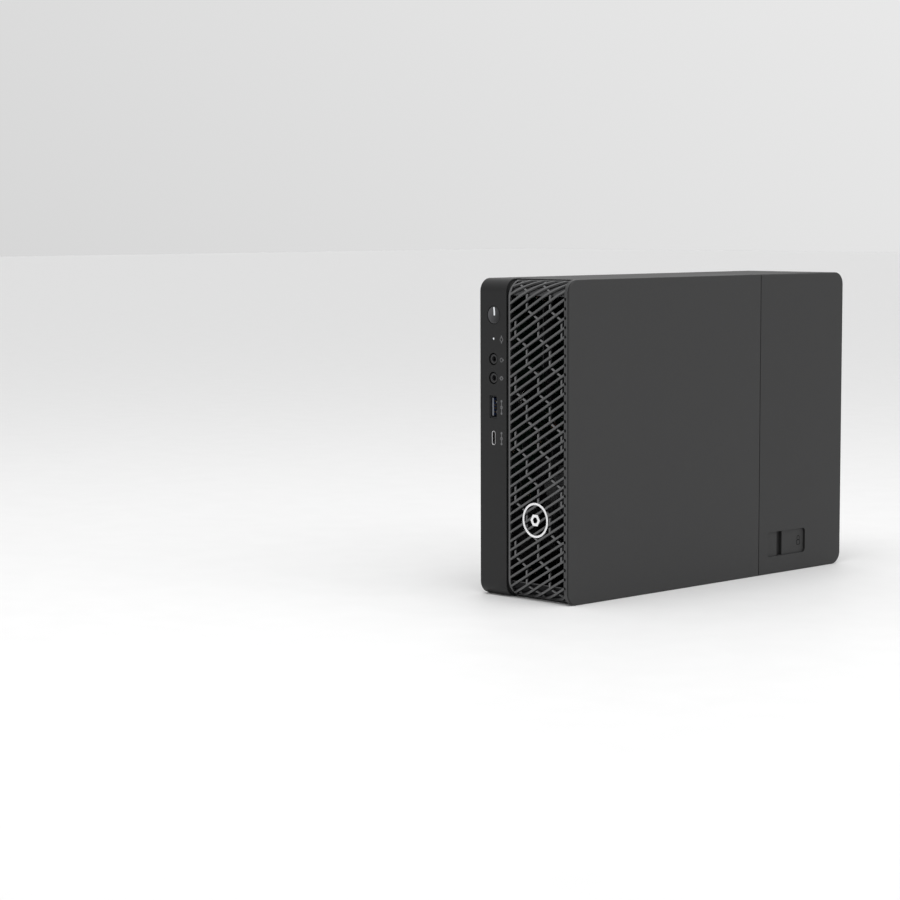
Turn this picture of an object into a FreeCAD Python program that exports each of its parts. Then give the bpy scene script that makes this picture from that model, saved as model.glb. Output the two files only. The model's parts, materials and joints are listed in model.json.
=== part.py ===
import FreeCAD, Part
import math
import os
from FreeCAD import Vector

# Upright mini PC with a clip-on rear cable cover.
# Frame: +Z up, front faces -Y, removable side cover faces +X, stand side faces -X.
# Origin: centre of the footprint on the ground. All lengths in millimetres.

# ---- driving dimensions ----
HEIGHT = 207.0
WIDTH = 80.0
BODY_DEPTH = 190.0
CABLE_COVER_DEPTH = 91.0
PROFILE_RADIUS = 8.5
EDGE_BEND = 1.0
FOOT_PROUD = 0.8
SHEET = 1.2
COVER_SHEET = 0.9
BEZEL_DEPTH = 12.0
BEZEL_WALL = 2.4
COVER_WALL = 2.0
GAP = 0.3

# ---- places worked out from them ----
DEPTH = BODY_DEPTH + CABLE_COVER_DEPTH
FRONT = -DEPTH / 2
REAR = DEPTH / 2
SEAM = FRONT + BODY_DEPTH
RIGHT = (WIDTH + FOOT_PROUD) / 2
LEFT = RIGHT - WIDTH
COVER_INNER = RIGHT - COVER_SHEET
TRAY_RIGHT = COVER_INNER - GAP
TRAY_FRONT = FRONT + BEZEL_DEPTH + GAP
REAR_WALL_OUT = SEAM - 4.5
REAR_WALL_IN = REAR_WALL_OUT - 1.0

# ---- front grille: a slanted hexagonal lattice ----
GRILLE_LEFT = RIGHT - 53.9
GRILLE_RIGHT = RIGHT - 3.9
GRILLE_INSET = 0.4
GRILLE_WALL = 2.2
GRILLE_DEPTH = 9.4
GRILLE_FRAME = 1.3
LINING_WALL = 0.6
LINING_REACH = 10.8
GRILLE_RADIUS = 12.0
BAR_PITCH = 5.93
BAR_WIDTH = 1.3
LINK_WIDTH = 1.3
LATTICE_X = RIGHT - 27.94
LATTICE_Z = 104.45
BAR_ANGLE = math.radians(29.6)
SLOPE = math.tan(BAR_ANGLE)
COLUMN_PITCH = 10.25
GROOVE_WIDTH = 1.6
GROOVE_DEPTH = 1.5

# ---- front sockets and controls, on the left strip ----
STRIP_X = RIGHT - 67.5
BUTTON_X = RIGHT - 67.0
BUTTON_Z = 183.4
BUTTON_RADIUS = 5.7
BUTTON_TRAVEL = 0.8
BUTTON_FLANGE = 1.4
STATUS_Z = 168.0
JACK_Z = (154.8, 142.5)
JACK_RADIUS = 3.8
JACK_BORE = 1.8
USB_A_Z = 123.7
USB_C_Z = 103.4

# ---- badge ring ----
BADGE_X = RIGHT - 29.6
BADGE_Z = 52.7
BADGE_RADIUS = 11.3
BADGE_BAND = 1.4

# ---- motherboard and what stands on it ----
INNER_LEFT = LEFT + SHEET
BOARD_BACK = INNER_LEFT + 5.0
BOARD_THICK = 1.6
BOARD_FACE = BOARD_BACK + BOARD_THICK
BOARD_Y0 = FRONT + BEZEL_WALL + GAP + BUTTON_FLANGE + BUTTON_TRAVEL + 0.5
BOARD_Y1 = REAR_WALL_IN - 0.4
BOARD_Z0 = 6.0
BOARD_Z1 = 201.0
CPU_Y = FRONT + 98.0
CPU_Z = 58.0
FAN_SIZE = 60.0
FAN_THICK = 15.0
FAN_X = 4.0
FAN_Y = FRONT + 38.0
FAN_RADIUS = 28.5
SINK_Y0 = FRONT + 62.0
SINK_Y1 = FRONT + 134.0

# ---- graphics card, standing on a riser ----
RISER_Z = 112.0
CARD_X = 17.0
CARD_Y0 = FRONT + 29.0
CARD_Y1 = REAR_WALL_IN - 3.0
CARD_Z0 = RISER_Z + 13.0
CARD_Z1 = CARD_Z0 + 66.0
CARD_FAN_Y = CARD_Y0 + 30.0
CARD_FAN_Z = (CARD_Z0 + CARD_Z1) / 2

# ---- side-cover thumbscrew ----
SCREW_X = 31.5
SCREW_Z = 108.0

# ---- release latch of the cable cover ----
LATCH_Y0 = FRONT + 198.6
LATCH_Y1 = FRONT + 240.6
LATCH_Z0 = 12.0
LATCH_Z1 = 29.0
LATCH_LIP = 1.1
LATCH_OUT = RIGHT - LATCH_LIP - 0.2
LATCH_IN = LATCH_OUT - 4.0
LATCH_TAIL = LATCH_Y1 + 6.0
LATCH_HEAD = LATCH_Y0 - 6.0
LATCH_MID_Z = (LATCH_Z0 + LATCH_Z1) / 2
SPRING_OFFSET = 1.8

# ---- stand-side mounting pattern ----
MOUNT_PITCH = 100.0
MOUNT_Y = FRONT + 95.0
MOUNT_Z = HEIGHT / 2
MOUNT_HOLE = 2.0


def box(x0, x1, y0, y1, z0, z1):
    return Part.makeBox(x1 - x0, y1 - y0, z1 - z0, Vector(x0, y0, z0))


def rod_x(y, z, radius, x0, x1):
    return Part.makeCylinder(radius, x1 - x0, Vector(x0, y, z), Vector(1, 0, 0))


def rod_y(x, z, radius, y0, y1):
    return Part.makeCylinder(radius, y1 - y0, Vector(x, y0, z), Vector(0, 1, 0))


def rod_z(x, y, radius, z0, z1):
    return Part.makeCylinder(radius, z1 - z0, Vector(x, y, z0), Vector(0, 0, 1))


def fuse(shapes):
    return shapes[0].multiFuse(shapes[1:]).removeSplitter()


def save(name, *solids):
    shape = solids[0] if len(solids) == 1 else Part.makeCompound(list(solids))
    shape.exportStep(f"parts/{name}.step")


def rounded_yz(x0, x1, y0, y1, z0, z1, front_radius, rear_radius):
    """Slab between x0 and x1 whose side outline is a rectangle with rounded corners."""
    corners = [(y0, z0, front_radius), (y1, z0, rear_radius), (y1, z1, rear_radius), (y0, z1, front_radius)]
    edges = []
    turns = []
    for index, (y, z, radius) in enumerate(corners):
        before = Vector(x0, *corners[index - 1][:2]) - Vector(x0, y, z)
        after = Vector(x0, *corners[(index + 1) % 4][:2]) - Vector(x0, y, z)
        corner = Vector(x0, y, z)
        enter = corner + before.normalize() * radius
        leave = corner + after.normalize() * radius
        middle = corner + (before + after) * radius * (1 - math.sqrt(0.5))
        turns.append((enter, middle, leave, radius))
    for index, (enter, middle, leave, radius) in enumerate(turns):
        if radius > 0:
            edges.append(Part.Arc(enter, middle, leave).toShape())
        edges.append(Part.LineSegment(leave, turns[(index + 1) % 4][0]).toShape())
    return Part.Face(Part.Wire(edges)).extrude(Vector(x1 - x0, 0, 0))


def bend_edges(shape, x, radius=EDGE_BEND):
    """Round the outline edges that lie in the plane of constant x."""
    flat = [e for e in shape.Edges if all(abs(v.X - x) < 1e-6 for v in e.Vertexes)]
    return shape.makeFillet(radius, flat)


def obround_y(x, z, width, height, y0, y1):
    """Round-ended slot or bar along Z, running through in Y."""
    radius = width / 2
    reach = height / 2 - radius
    return fuse([
        box(x - radius, x + radius, y0, y1, z - reach, z + reach),
        rod_y(x, z - reach, radius, y0, y1),
        rod_y(x, z + reach, radius, y0, y1),
    ])


def routed_tube(points, diameter):
    """Round cable along straight runs joined by tangent arcs as large as the runs allow."""
    route = [Vector(*p) for p in points]
    edges = []
    start = route[0]
    for before, corner, after in zip(route, route[1:], route[2:]):
        into = (corner - before).normalize()
        out = (after - corner).normalize()
        reach = 0.45 * min((corner - before).Length, (after - corner).Length)
        half = into.getAngle(out) / 2
        radius = reach / math.tan(half)
        centre = corner + (out - into).normalize() * (radius / math.cos(half))
        enter = corner - into * reach
        leave = corner + out * reach
        middle = centre + (corner - centre).normalize() * radius
        edges.append(Part.LineSegment(start, enter).toShape())
        edges.append(Part.Arc(enter, middle, leave).toShape())
        start = leave
    edges.append(Part.LineSegment(start, route[-1]).toShape())
    first = (route[1] - route[0]).normalize()
    ring = Part.Wire(Part.makeCircle(diameter / 2, route[0], first))
    return Part.Wire(edges).makePipeShell([ring], True, False)


# ---------------------------------------------------------------- enclosure

def rear_cutouts():
    """Openings through the rear wall, in front of each rear socket and the vents."""
    y0, y1 = REAR_WALL_IN - 1, REAR_WALL_OUT + 1
    cuts = [box(x0 - 0.3, x1 + 0.3, y0, y1, z0 - 0.3, z1 + 0.3) for _, x0, x1, z0, z1 in REAR_SOCKETS]
    cuts.append(box(CARD_X - 1.6, CARD_X + 16.0, y0, y1, CARD_Z0 - 4, CARD_Z1 + 2))
    cuts.append(rod_y(SCREW_X, SCREW_Z, 2.0, y0, y1))
    cuts.append(box(LATCH_IN - 0.6, TRAY_RIGHT + 0.1, y0, y1, LATCH_MID_Z - 5.5, LATCH_MID_Z + 5.5))
    for column in range(7):
        for row_z in (36.0, 80.0):
            cuts.append(obround_y(-9.5 + column * 5.6, row_z, 3.0, 36.0, y0, y1))
    return cuts


def chassis_tray():
    outer = bend_edges(box(LEFT, TRAY_RIGHT, TRAY_FRONT, SEAM - GAP, 0, HEIGHT), LEFT)
    bay = box(LEFT + SHEET, RIGHT, TRAY_FRONT - 1, REAR_WALL_IN, SHEET, HEIGHT - SHEET)
    recess = box(LEFT + SHEET, RIGHT, REAR_WALL_OUT, SEAM + 1, SHEET, HEIGHT - SHEET)
    tray = fuse([outer.cut([bay, recess]), bracket_bridge()])
    holes = [rod_x(y, z, MOUNT_HOLE, LEFT - 1, INNER_LEFT + 1) for y, z in mount_places()]
    return tray.cut(holes + rear_cutouts())


def mount_places():
    half = MOUNT_PITCH / 2
    return [(MOUNT_Y + sy * half, MOUNT_Z + sz * half) for sy in (-1, 1) for sz in (-1, 1)]


def mount_inserts():
    inserts = []
    for y, z in mount_places():
        barrel = rod_x(y, z, 4.0, INNER_LEFT, INNER_LEFT + 3.2)
        inserts.append(barrel.cut(rod_x(y, z, MOUNT_HOLE, INNER_LEFT - 1, INNER_LEFT + 4)))
    return inserts


def side_feet():
    feet = []
    for y in (FRONT + 26, SEAM - 26):
        for z in (18.0, HEIGHT - 18.0):
            pad = box(LEFT - FOOT_PROUD, LEFT, y - 9, y + 9, z - 4, z + 4)
            ends = [rod_x(y + side * 9, z, 4.0, LEFT - FOOT_PROUD, LEFT) for side in (-1, 1)]
            feet.append(fuse([pad] + ends))
    return feet


def side_cover():
    """Flat steel panel with two inward flanges and a forked ear under the thumbscrew."""
    plate = rounded_yz(COVER_INNER, RIGHT, FRONT, SEAM - GAP, 0, HEIGHT, PROFILE_RADIUS, 0)
    plate = bend_edges(plate, RIGHT, 0.5)
    flange_y0, flange_y1 = TRAY_FRONT + 8, REAR_WALL_IN - 4
    flange_x = COVER_INNER - 8
    low = box(flange_x, COVER_INNER, flange_y0, flange_y1, SHEET + 0.5, SHEET + 1.5)
    high = box(flange_x, COVER_INNER, flange_y0, flange_y1, HEIGHT - SHEET - 1.5, HEIGHT - SHEET - 0.5)
    ear_y = REAR_WALL_OUT + 0.2
    ear = box(SCREW_X - 5, COVER_INNER, ear_y, ear_y + 1.0, SCREW_Z - 8, SCREW_Z + 8)
    notch = fuse([
        box(SCREW_X - 6, SCREW_X, ear_y - 1, ear_y + 2, SCREW_Z - 2.3, SCREW_Z + 2.3),
        rod_y(SCREW_X, SCREW_Z, 2.3, ear_y - 1, ear_y + 2),
    ])
    return fuse([plate, low, high, ear.cut(notch)])


def cover_thumbscrew():
    """Knurled head, collar and shank; the shank passes the rear wall's hole."""
    seat = REAR_WALL_OUT + 1.4
    head = rod_y(SCREW_X, SCREW_Z, 4.6, seat, seat + 4.6)
    grooves = []
    for index in range(16):
        angle = index * math.tau / 16
        x = SCREW_X + 4.7 * math.cos(angle)
        z = SCREW_Z + 4.7 * math.sin(angle)
        grooves.append(rod_y(x, z, 0.45, seat + 0.8, seat + 5))
    slot = box(SCREW_X - 6, SCREW_X + 6, seat + 3.6, seat + 5, SCREW_Z - 0.5, SCREW_Z + 0.5)
    shank = rod_y(SCREW_X, SCREW_Z, 1.7, REAR_WALL_IN - 4, seat)
    return fuse([head.cut(grooves + [slot]), shank])


# ---------------------------------------------------------------- front

def inset_profile(x0, x1, inset, y1):
    """The enclosure's side outline shrunk by inset, from its front back to y1."""
    radius = PROFILE_RADIUS - inset
    return rounded_yz(x0, x1, FRONT + inset, y1, inset, HEIGHT - inset, radius, 0)


def front_bezel():
    rear = FRONT + BEZEL_DEPTH
    right = TRAY_RIGHT
    outer = bend_edges(inset_profile(LEFT, right, 0, rear), LEFT)
    core = inset_profile(LEFT + BEZEL_WALL, right - 1.6, BEZEL_WALL, rear + 1)
    window_y1 = FRONT + GRILLE_DEPTH
    window = box(GRILLE_LEFT, GRILLE_RIGHT, FRONT - 1, window_y1, -1, HEIGHT + 1)
    groove_x = GRILLE_LEFT - GROOVE_WIDTH
    groove = inset_profile(groove_x, GRILLE_LEFT, 0, rear + 1)
    groove = groove.cut(inset_profile(groove_x, GRILLE_LEFT, GROOVE_DEPTH, rear + 2))
    front, back = FRONT - 1, FRONT + BEZEL_WALL + 1
    holes = [rod_y(BUTTON_X, BUTTON_Z, BUTTON_RADIUS + 0.3, front, back)]
    holes.append(rod_y(STRIP_X, STATUS_Z, 1.1, front, back))
    holes += [rod_y(STRIP_X, z, JACK_RADIUS + 0.2, front, back) for z in JACK_Z]
    holes.append(box(STRIP_X - 3.3, STRIP_X + 3.3, front, back, USB_A_Z - 7.3, USB_A_Z + 7.3))
    holes.append(obround_y(STRIP_X, USB_C_Z, 3.8, 9.8, front, back))
    return outer.cut([core, window, groove] + holes)


def clip_polygon(points, limit, keep_below):
    """Keep the part of an XZ polygon below (or above) the height limit."""
    sign = 1 if keep_below else -1
    kept = []
    for (x0, z0), (x1, z1) in zip(points, points[1:] + points[:1]):
        inside0 = sign * (limit - z0) >= 0
        inside1 = sign * (limit - z1) >= 0
        if inside0:
            kept.append((x0, z0))
        if inside0 != inside1:
            share = (limit - z0) / (z1 - z0)
            kept.append((x0 + share * (x1 - x0), limit))
    return kept


def links_in_gap(gap):
    """Links that cross one gap between bars: (x, leaning) pairs in order of x."""
    links = []
    for column in range(-4, 5):
        x = LATTICE_X + column * COLUMN_PITCH
        place = (gap + 4 * column) % 6
        if place in (0, 5):
            links.append((x, False))
        elif place == 4:
            links.append((x + COLUMN_PITCH / 4, True))
        elif place == 3:
            links.append((x + COLUMN_PITCH * 3 / 4, True))
    return sorted(links)


def slot_side(link, side, height, mid_base):
    """Point where the line x * SLOPE + height meets one side of a link."""
    x, leaning = link
    if not leaning:
        x_side = x + side * LINK_WIDTH / 2
        return (x_side, x_side * SLOPE + height)
    mid_z = x * SLOPE + mid_base
    x_side = x + side * LINK_WIDTH
    x_meet = (mid_z + x_side * SLOPE - height) / (2 * SLOPE)
    return (x_meet, x_meet * SLOPE + height)


def grille_slots():
    """Through-slots between neighbouring bars and links, as XZ polygons."""
    x_low = GRILLE_LEFT + GRILLE_FRAME
    x_high = GRILLE_RIGHT - 0.6
    z_low, z_high = 1.8, HEIGHT - 1.8
    half_bar = BAR_WIDTH / 2 / math.cos(BAR_ANGLE)
    base = LATTICE_Z - LATTICE_X * SLOPE
    polygons = []
    for gap in range(-24, 24):
        low = base + gap * BAR_PITCH + half_bar
        high = base + (gap + 1) * BAR_PITCH - half_bar
        mid = (low + high) / 2
        inner = [k for k in links_in_gap(gap) if x_low + 2 < k[0] < x_high - 2]
        stops = [(x_low - LINK_WIDTH / 2, False)] + inner + [(x_high + LINK_WIDTH / 2, False)]
        for left, right in zip(stops, stops[1:]):
            polygon = [
                slot_side(left, 1, low, mid),
                slot_side(right, -1, low, mid),
                slot_side(right, -1, high, mid),
                slot_side(left, 1, high, mid),
            ]
            polygon = clip_polygon(polygon, z_high, True)
            polygon = clip_polygon(polygon, z_low, False) if polygon else polygon
            if len(polygon) > 2 and polygon_area(polygon) > 1.5:
                polygons.append(polygon)
    return polygons


def polygon_area(points):
    pairs = zip(points, points[1:] + points[:1])
    return abs(sum(x0 * z1 - x1 * z0 for (x0, z0), (x1, z1) in pairs)) / 2


def grille_profile(x0, x1, depth, y1):
    """The grille's own outline, rounder than the enclosure's, at a depth under its face."""
    inset = GRILLE_INSET + depth
    slab = rounded_yz(x0, x1, FRONT + inset, SEAM, inset, HEIGHT - inset, GRILLE_RADIUS - depth, 0)
    return slab.common(box(x0 - 1, x1 + 1, FRONT - 1, y1, -1, HEIGHT + 1))


def front_grille():
    """Slotted face that curves back at both ends, where a lining closes the slots from behind."""
    rear = FRONT + GRILLE_DEPTH - GAP
    x0, x1 = GRILLE_LEFT + 0.05, GRILLE_RIGHT - 0.05
    shell = grille_profile(x0, x1, 0, rear)
    shell = shell.cut(grille_profile(x0 - 1, x1 + 1, GRILLE_WALL, rear + 1))
    lining = grille_profile(x0, x1, GRILLE_WALL, rear)
    lining = lining.cut(grille_profile(x0 - 1, x1 + 1, GRILLE_WALL + LINING_WALL, rear + 1))
    lining = lining.cut(box(x0 - 1, x1 + 1, FRONT - 1, rear + 1, LINING_REACH, HEIGHT - LINING_REACH))
    cuts = []
    for polygon in grille_slots():
        points = [Vector(x, FRONT - 1, z) for x, z in polygon]
        face = Part.Face(Part.makePolygon(points + points[:1]))
        cuts.append(face.extrude(Vector(0, GRILLE_DEPTH + 1, 0)))
    return fuse([shell.cut(cuts), lining])


def badge():
    """Plain open ring with a small plain hexagon, set on the grille bars."""
    y0, y1 = FRONT, FRONT + GRILLE_INSET
    ring = rod_y(BADGE_X, BADGE_Z, BADGE_RADIUS, y0, y1)
    ring = ring.cut(rod_y(BADGE_X, BADGE_Z, BADGE_RADIUS - BADGE_BAND, y0 - 1, y1 + 1))
    corners = []
    for index in range(7):
        angle = math.radians(60 * index)
        corners.append(Vector(BADGE_X + 4.2 * math.cos(angle), y0, BADGE_Z + 4.2 * math.sin(angle)))
    hexagon = Part.Face(Part.makePolygon(corners)).extrude(Vector(0, y1 - y0, 0))
    return ring, hexagon.cut(rod_y(BADGE_X, BADGE_Z, 2.2, y0 - 1, y1 + 1))


def power_button():
    flange_y = FRONT + BEZEL_WALL + GAP
    cap = rod_y(BUTTON_X, BUTTON_Z, BUTTON_RADIUS, FRONT + 0.1, flange_y)
    flange = rod_y(BUTTON_X, BUTTON_Z, BUTTON_RADIUS + 1.1, flange_y, flange_y + BUTTON_FLANGE)
    stem = rod_y(BUTTON_X, BUTTON_Z, 1.8, flange_y, FRONT + 9)
    return fuse([cap, flange, stem]).cut(light_line(0.0))


def light_line(shrink=0.02):
    """Narrow light strip from the button's upper rim to its centre."""
    half = 0.6 - shrink
    y1 = FRONT + 3 - shrink
    return box(BUTTON_X - half, BUTTON_X + half, FRONT + 0.1, y1, BUTTON_Z - 0.3, BUTTON_Z + 5.0 - shrink)


def power_switch():
    body = box(BOARD_FACE, BUTTON_X + 3, FRONT + 11.6, FRONT + 16, BUTTON_Z - 3, BUTTON_Z + 3)
    return fuse([body, rod_y(BUTTON_X, BUTTON_Z, 1.5, FRONT + 10, FRONT + 11.6)])


def status_light_guide():
    """Clear pipe from the bezel's hole back to the board."""
    pipe = rod_y(STRIP_X, STATUS_Z, 1.0, FRONT + 0.1, FRONT + 9)
    leg = box(BOARD_FACE, STRIP_X + 1, FRONT + 7, FRONT + 9, STATUS_Z - 1, STATUS_Z + 1)
    return fuse([pipe, leg])


def audio_jack(z):
    body_y = FRONT + 4
    body = box(BOARD_FACE, STRIP_X + 3.6, body_y, body_y + 12, z - 3.6, z + 3.6)
    sleeve = rod_y(STRIP_X, z, JACK_RADIUS, FRONT + 0.3, body_y)
    return fuse([body, sleeve]).cut(rod_y(STRIP_X, z, JACK_BORE, FRONT - 1, body_y + 10))


def socket_shell(x, z, width, height, wall, y0, y1):
    """Rectangular metal socket shell, open to the front, with a closed back."""
    outer = box(x - width / 2, x + width / 2, y0, y1, z - height / 2, z + height / 2)
    inner = box(
        x - width / 2 + wall, x + width / 2 - wall, y0 - 1, y1 - 1.0,
        z - height / 2 + wall, z + height / 2 - wall)
    return outer.cut(inner)


def front_usb_a():
    y0, y1 = FRONT + 0.4, FRONT + 16
    shell = socket_shell(STRIP_X, USB_A_Z, 6.2, 14.2, 0.4, y0, y1)
    tongue = box(STRIP_X - 2.3, STRIP_X - 0.6, y0 + 1.0, y1 - 1.0, USB_A_Z - 5.8, USB_A_Z + 5.8)
    foot = box(BOARD_FACE, STRIP_X - 3.1, FRONT + 5, y1, USB_A_Z - 6, USB_A_Z + 6)
    return fuse([shell, foot]), tongue


def front_usb_c():
    y0, y1 = FRONT + 0.3, FRONT + 11
    shell = obround_y(STRIP_X, USB_C_Z, 3.5, 9.5, y0, y1)
    shell = shell.cut(obround_y(STRIP_X, USB_C_Z, 2.7, 8.7, y0 - 1, y1 - 1))
    tongue = box(STRIP_X - 0.35, STRIP_X + 0.35, y0 + 0.8, y1 - 1.0, USB_C_Z - 3.3, USB_C_Z + 3.3)
    foot = box(BOARD_FACE, STRIP_X - 1.3, FRONT + 5, y1, USB_C_Z - 3, USB_C_Z + 3)
    return fuse([shell, foot.cut(obround_y(STRIP_X, USB_C_Z, 2.7, 8.7, y0, y1 - 1))]), tongue


# ---------------------------------------------------------------- rear sockets

# name, x range, z range; each stands on the board and shows through the rear wall
REAR_SOCKETS = [
    ("network_socket", BOARD_FACE, BOARD_FACE + 13.6, 12.0, 28.2),
    ("rear_usb_blocks", BOARD_FACE, BOARD_FACE + 15.6, 36.0, 49.4),
    ("rear_usb_blocks", BOARD_FACE, BOARD_FACE + 15.6, 55.0, 68.4),
    ("display_sockets", BOARD_FACE, BOARD_FACE + 7.0, 72.0, 88.4),
    ("display_sockets", BOARD_FACE, BOARD_FACE + 7.0, 91.5, 107.9),
    ("power_inlet", BOARD_FACE, BOARD_FACE + 11.5, 180.0, 192.0),
]


def rear_socket(name, x0, x1, z0, z1):
    """Housing with the mouth that its kind of plug needs."""
    y0, y1 = REAR_WALL_OUT - 20, REAR_WALL_OUT + 0.4
    x, z = (x0 + x1) / 2, (z0 + z1) / 2
    housing = box(x0, x1, y0, y1, z0, z1)
    if name == "network_socket":
        mouth = box(x0 + 3.2, x1 - 2.2, y1 - 15, y1 + 1, z - 6.0, z + 6.0)
        return [housing.cut(mouth)]
    if name == "rear_usb_blocks":
        solids = []
        for port_x in (x0 + 4.4, x0 + 11.8):
            housing = housing.cut(box(port_x - 2.6, port_x + 2.6, y1 - 12, y1 + 1, z - 6.3, z + 6.3))
            solids.append(box(port_x - 0.2, port_x + 1.6, y1 - 12, y1 - 1, z - 5.6, z + 5.6))
        return [housing] + solids
    if name == "display_sockets":
        mouth = box(x - 2.4, x + 2.4, y1 - 10, y1 + 1, z - 7.4, z + 7.4)
        return [housing.cut(mouth), box(x - 0.8, x + 0.8, y1 - 10, y1 - 1, z - 6, z + 6)]
    mouth = rod_y(x, z, 3.9, y1 - 14, y1 + 1)
    return [housing.cut(mouth), rod_y(x, z, 0.4, y1 - 14, y1 - 2)]


# ---------------------------------------------------------------- motherboard

STANDOFF_PLACES = [
    (FRONT + 24, 12), (FRONT + 100, 20), (FRONT + 180, 8), (FRONT + 60, 108),
    (FRONT + 24, 195), (FRONT + 100, 195), (FRONT + 180, 197), (FRONT + 168, 126),
]


def motherboard():
    board = box(BOARD_BACK, BOARD_FACE, BOARD_Y0, BOARD_Y1, BOARD_Z0, BOARD_Z1)
    holes = [rod_x(y, z, 1.6, BOARD_BACK - 1, BOARD_FACE + 1) for y, z in STANDOFF_PLACES]
    return board.cut(holes)


def standoffs():
    posts = []
    for y, z in STANDOFF_PLACES:
        post = rod_x(y, z, 2.6, INNER_LEFT, BOARD_BACK)
        posts.append(post.cut(rod_x(y, z, 1.45, INNER_LEFT + 1, BOARD_BACK + 1)))
    return posts


def board_screws():
    screws = []
    for y, z in STANDOFF_PLACES:
        head = rod_x(y, z, 2.8, BOARD_FACE, BOARD_FACE + 1.6)
        drive = box(BOARD_FACE + 0.8, BOARD_FACE + 2, y - 1.4, y + 1.4, z - 0.3, z + 0.3)
        screws.append(fuse([head, rod_x(y, z, 1.4, INNER_LEFT + 1.4, BOARD_FACE)]).cut(drive))
    return screws


def board_components():
    """Chokes, capacitors and controller chips along the processor and the sockets."""
    parts = []
    for index in range(6):
        y = FRONT + 66 + index * 9.5
        parts.append(box(BOARD_FACE, BOARD_FACE + 4.6, y, y + 7, 97.0, 103.5))
        parts.append(rod_x(y + 3.5, 7.0 + 4.0, 2.6, BOARD_FACE, BOARD_FACE + 5.5))
    parts.append(box(BOARD_FACE, BOARD_FACE + 1.8, FRONT + 148, FRONT + 160, 30, 42))
    parts.append(box(BOARD_FACE, BOARD_FACE + 2.2, FRONT + 144, FRONT + 160, 60, 76))
    return parts


def processor():
    y0, z0 = CPU_Y - 22.5, CPU_Z - 18.75
    substrate = box(BOARD_FACE + 1.4, BOARD_FACE + 2.6, y0, y0 + 45, z0, z0 + 37.5)
    lid = box(BOARD_FACE + 2.6, BOARD_FACE + 5.0, CPU_Y - 17, CPU_Y + 17, CPU_Z - 14, CPU_Z + 14)
    return fuse([substrate, lid])


def processor_socket():
    base = box(BOARD_FACE, BOARD_FACE + 3.4, CPU_Y - 26, CPU_Y + 26, CPU_Z - 22, CPU_Z + 22)
    well = box(BOARD_FACE + 1.4, BOARD_FACE + 4, CPU_Y - 22.6, CPU_Y + 22.6, CPU_Z - 18.9, CPU_Z + 18.9)
    return base.cut(well)


PIPE_OFFSETS = (-9.0, 0.0, 9.0)
PIPE_RADIUS = 3.0
SINK_BASE = BOARD_FACE + 5.0
FIN_X0 = SINK_BASE + 8.0
FIN_X1 = 33.0
PIPE_HIGH_X = 22.0


def heat_pipes():
    """Three U-shaped pipes: along the base, up beside the fins, back through them."""
    pipes = []
    for offset in PIPE_OFFSETS:
        y = CPU_Y + offset
        low_x = SINK_BASE + 4.0
        route = [(low_x, y, 30), (low_x, y, 103), (PIPE_HIGH_X, y, 103), (PIPE_HIGH_X, y, 24)]
        bend = 9.0
        wire = filleted_route(route, bend)
        ring = Part.Wire(Part.makeCircle(PIPE_RADIUS, Vector(*route[0]), Vector(0, 0, 1)))
        pipes.append(wire.makePipeShell([ring], True, False))
    return pipes


def filleted_route(points, bend):
    """Polyline with each corner rounded to the same bend radius, for right-angle turns."""
    route = [Vector(*p) for p in points]
    edges = []
    start = route[0]
    for before, corner, after in zip(route, route[1:], route[2:]):
        into = (corner - before).normalize()
        out = (after - corner).normalize()
        enter = corner - into * bend
        leave = corner + out * bend
        middle = corner + (out - into) * bend * (1 - math.sqrt(0.5))
        edges.append(Part.LineSegment(start, enter).toShape())
        edges.append(Part.Arc(enter, middle, leave).toShape())
        start = leave
    edges.append(Part.LineSegment(start, route[-1]).toShape())
    return Part.Wire(edges)


def heatsink(pipes):
    """Base block, thin fins tied at both ends, and four legs reached through notches in the fins."""
    base = box(SINK_BASE, FIN_X0, SINK_Y0 + 6, SINK_Y1 - 6, 21.0, 93.0)
    fins = []
    z = 22.0
    while z < 92:
        fins.append(box(FIN_X0, FIN_X1, SINK_Y0, SINK_Y1, z, z + 0.6))
        z += 3.0
    posts = [box(FIN_X0, FIN_X1, SINK_Y0 + 2, SINK_Y0 + 3, 22.0, 91.6),
             box(FIN_X0, FIN_X1, SINK_Y1 - 3, SINK_Y1 - 2, 22.0, 91.6)]
    posts = [p.cut(box(FIN_X0 + 6, FIN_X1 - 6, SINK_Y0, SINK_Y1, 24, 90)) for p in posts]
    legs, bores, notches = [], [], []
    for y, z in sink_screw_places():
        inward = 1 if y < CPU_Y else -1
        leg_y = sorted((y - inward * 3.2, y + inward * 6.0))
        notch_y = sorted((y - inward * 8.0, y + inward * 4.2))
        legs.append(box(SINK_BASE + 1, SINK_BASE + 3, *leg_y, z - 5, z + 5))
        bores.append(rod_x(y, z, 1.8, SINK_BASE - 1, SINK_BASE + 5))
        notches.append(box(SINK_BASE + 3, FIN_X1 + 1, *notch_y, z - 4.2, z + 4.2))
    return fuse([base] + fins + posts + legs).cut(pipes + bores + notches)


def sink_screw_places():
    return [(CPU_Y + sy * 33.0, CPU_Z + sz * 27.0) for sy in (-1, 1) for sz in (-1, 1)]


def heatsink_screws():
    screws = []
    for y, z in sink_screw_places():
        head = rod_x(y, z, 3.4, SINK_BASE + 3, SINK_BASE + 8)
        drive = box(SINK_BASE + 6.5, SINK_BASE + 9, y - 2, y + 2, z - 0.4, z + 0.4)
        screws.append(fuse([head, rod_x(y, z, 1.6, BOARD_FACE, SINK_BASE + 3)]).cut(drive))
    return screws


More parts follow.
